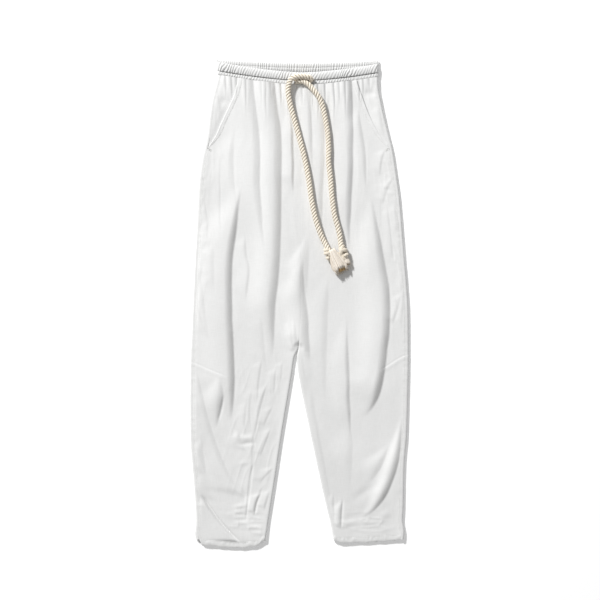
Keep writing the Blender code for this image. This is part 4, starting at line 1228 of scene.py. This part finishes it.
def stitchPiece(name, lines):
    points, faces = [], []
    for line in lines:
        some, ofThem = stitchesAlong(np.asarray(line, float))
        start = len(points)
        points += some
        faces += [tuple(start + k for k in face) for face in ofThem]
    mesh = bpy.data.meshes.new(name)
    mesh.from_pydata([tuple(p * mm) for p in points], [], faces)
    mesh.update()
    if signedVolume(mesh) < 0:
        mesh.flip_normals()
    mesh.materials.append(thread)
    piece = bpy.data.objects.new(name, mesh)
    bpy.context.scene.collection.objects.link(piece)
    return finishPiece(piece)


def onFront(side, x, y, above):
    return np.stack([x, y, frontHeight(side, x, y) + above], axis=-1)


def makeStitching():
    for side in ("r", "l"):
        sign = legs[side]["sign"]
        y = np.linspace(318, 446, 90)
        y = y[y < waistLine("frontHeaderLow", mouthX(side, y)) - 2]
        wide = 2.0 + 7.0 * ease((y - 306) / 40)
        pocket = onFront(side, mouthX(side, y) - sign * (0.1 + wide * 0.84), y, 0.75)
        y = np.linspace(300, -455, 380)
        seam = onFront(side, seamX(side, y) - sign * 2.2, y, 0.1)
        hemLine = frontGrid(side, np.array([-462.0]), trousers["seamGap"] + 2.2)[0][3:-8]
        hemLine[:, 2] += 0.15
        mouthEnd = float(mouthX(side, 310.0))
        tacks = []
        for turn in range(5):
            tackY = 311.0 - 1.1 * turn
            tackX = np.linspace(mouthEnd - sign * 7.5, mouthEnd + sign * 1.0, 6)
            tacks.append(onFront(side, tackX, tackY + 0 * tackX + 0.35 * (tackX - mouthEnd) * sign, 0.5))
        stitchPiece("stitching" + side.upper(), [pocket, seam, hemLine] + tacks)
    x = np.linspace(-158, 152, 400)
    lines = []
    for lineName, inset in (("frontHeaderLow", 1.2), ("frontHeaderTop", -1.2)):
        y = waistLine(lineName, x) + inset
        lines.append(np.stack([x, y, 8.6 + 0.2 * np.sin(x)], axis=-1))
    stitchPiece("stitchingWaist", lines)


# Cloth pieces of both legs, then the waist bands and the stitching


for side in ("r", "l"):
    frontCloth, backCloth = makePanels(side)
    hemFront, hemBack = makeHems(side)
    facing = makeFacing(side)
    pocketEdge = makePocketEdge(side)
    print("leg", side, "made")
casingFront, casingBack, headerFront, headerBack = makeWaist()
makeStitching()
print("waist and stitching made")


# Floor and light

studio = {
    "floorSize": 12.0, "floorColour": (0.95, 0.95, 0.95), "floorGlow": 0.15, "fill": 0.40, "keyPower": 550.0,
    "keyFar": 7.0, "keyHigh": 35.0, "keyTowards": (0.6, -0.8), "keySize": 0.7}


def addStudio(settings):
    bpy.ops.mesh.primitive_plane_add(size=settings["floorSize"], location=(0, 0, -0.0003))
    floor = bpy.context.object
    floor.name = "floor"
    material = bpy.data.materials.new("floorPaper")
    material.use_nodes = True
    shader = material.node_tree.nodes["Principled BSDF"]
    shader.inputs["Base Color"].default_value = (*settings["floorColour"], 1.0)
    shader.inputs["Roughness"].default_value = 1.0
    shader.inputs["Specular IOR Level"].default_value = 0.0
    shader.inputs["Emission Color"].default_value = (1.0, 1.0, 1.0, 1.0)
    shader.inputs["Emission Strength"].default_value = settings["floorGlow"]
    floor.data.materials.append(material)
    world = bpy.data.worlds.new("studio")
    bpy.context.scene.world = world
    world.use_nodes = True
    back = world.node_tree.nodes["Background"]
    back.inputs["Color"].default_value = (1.0, 1.0, 1.0, 1.0)
    back.inputs["Strength"].default_value = settings["fill"]
    key = bpy.data.lights.new("key", "AREA")
    key.energy = settings["keyPower"]
    key.size = settings["keySize"]
    lamp = bpy.data.objects.new("key", key)
    high = math.radians(settings["keyHigh"])
    flat = Vector((*settings["keyTowards"], 0.0)).normalized() * math.cos(high)
    towards = Vector((flat.x, flat.y, -math.sin(high)))
    lamp.rotation_euler = towards.to_track_quat("-Z", "Y").to_euler()
    lamp.location = -towards * settings["keyFar"]
    bpy.context.scene.collection.objects.link(lamp)
    bpy.context.scene.view_settings.view_transform = "Standard"


addStudio(studio)
print("studio ready")
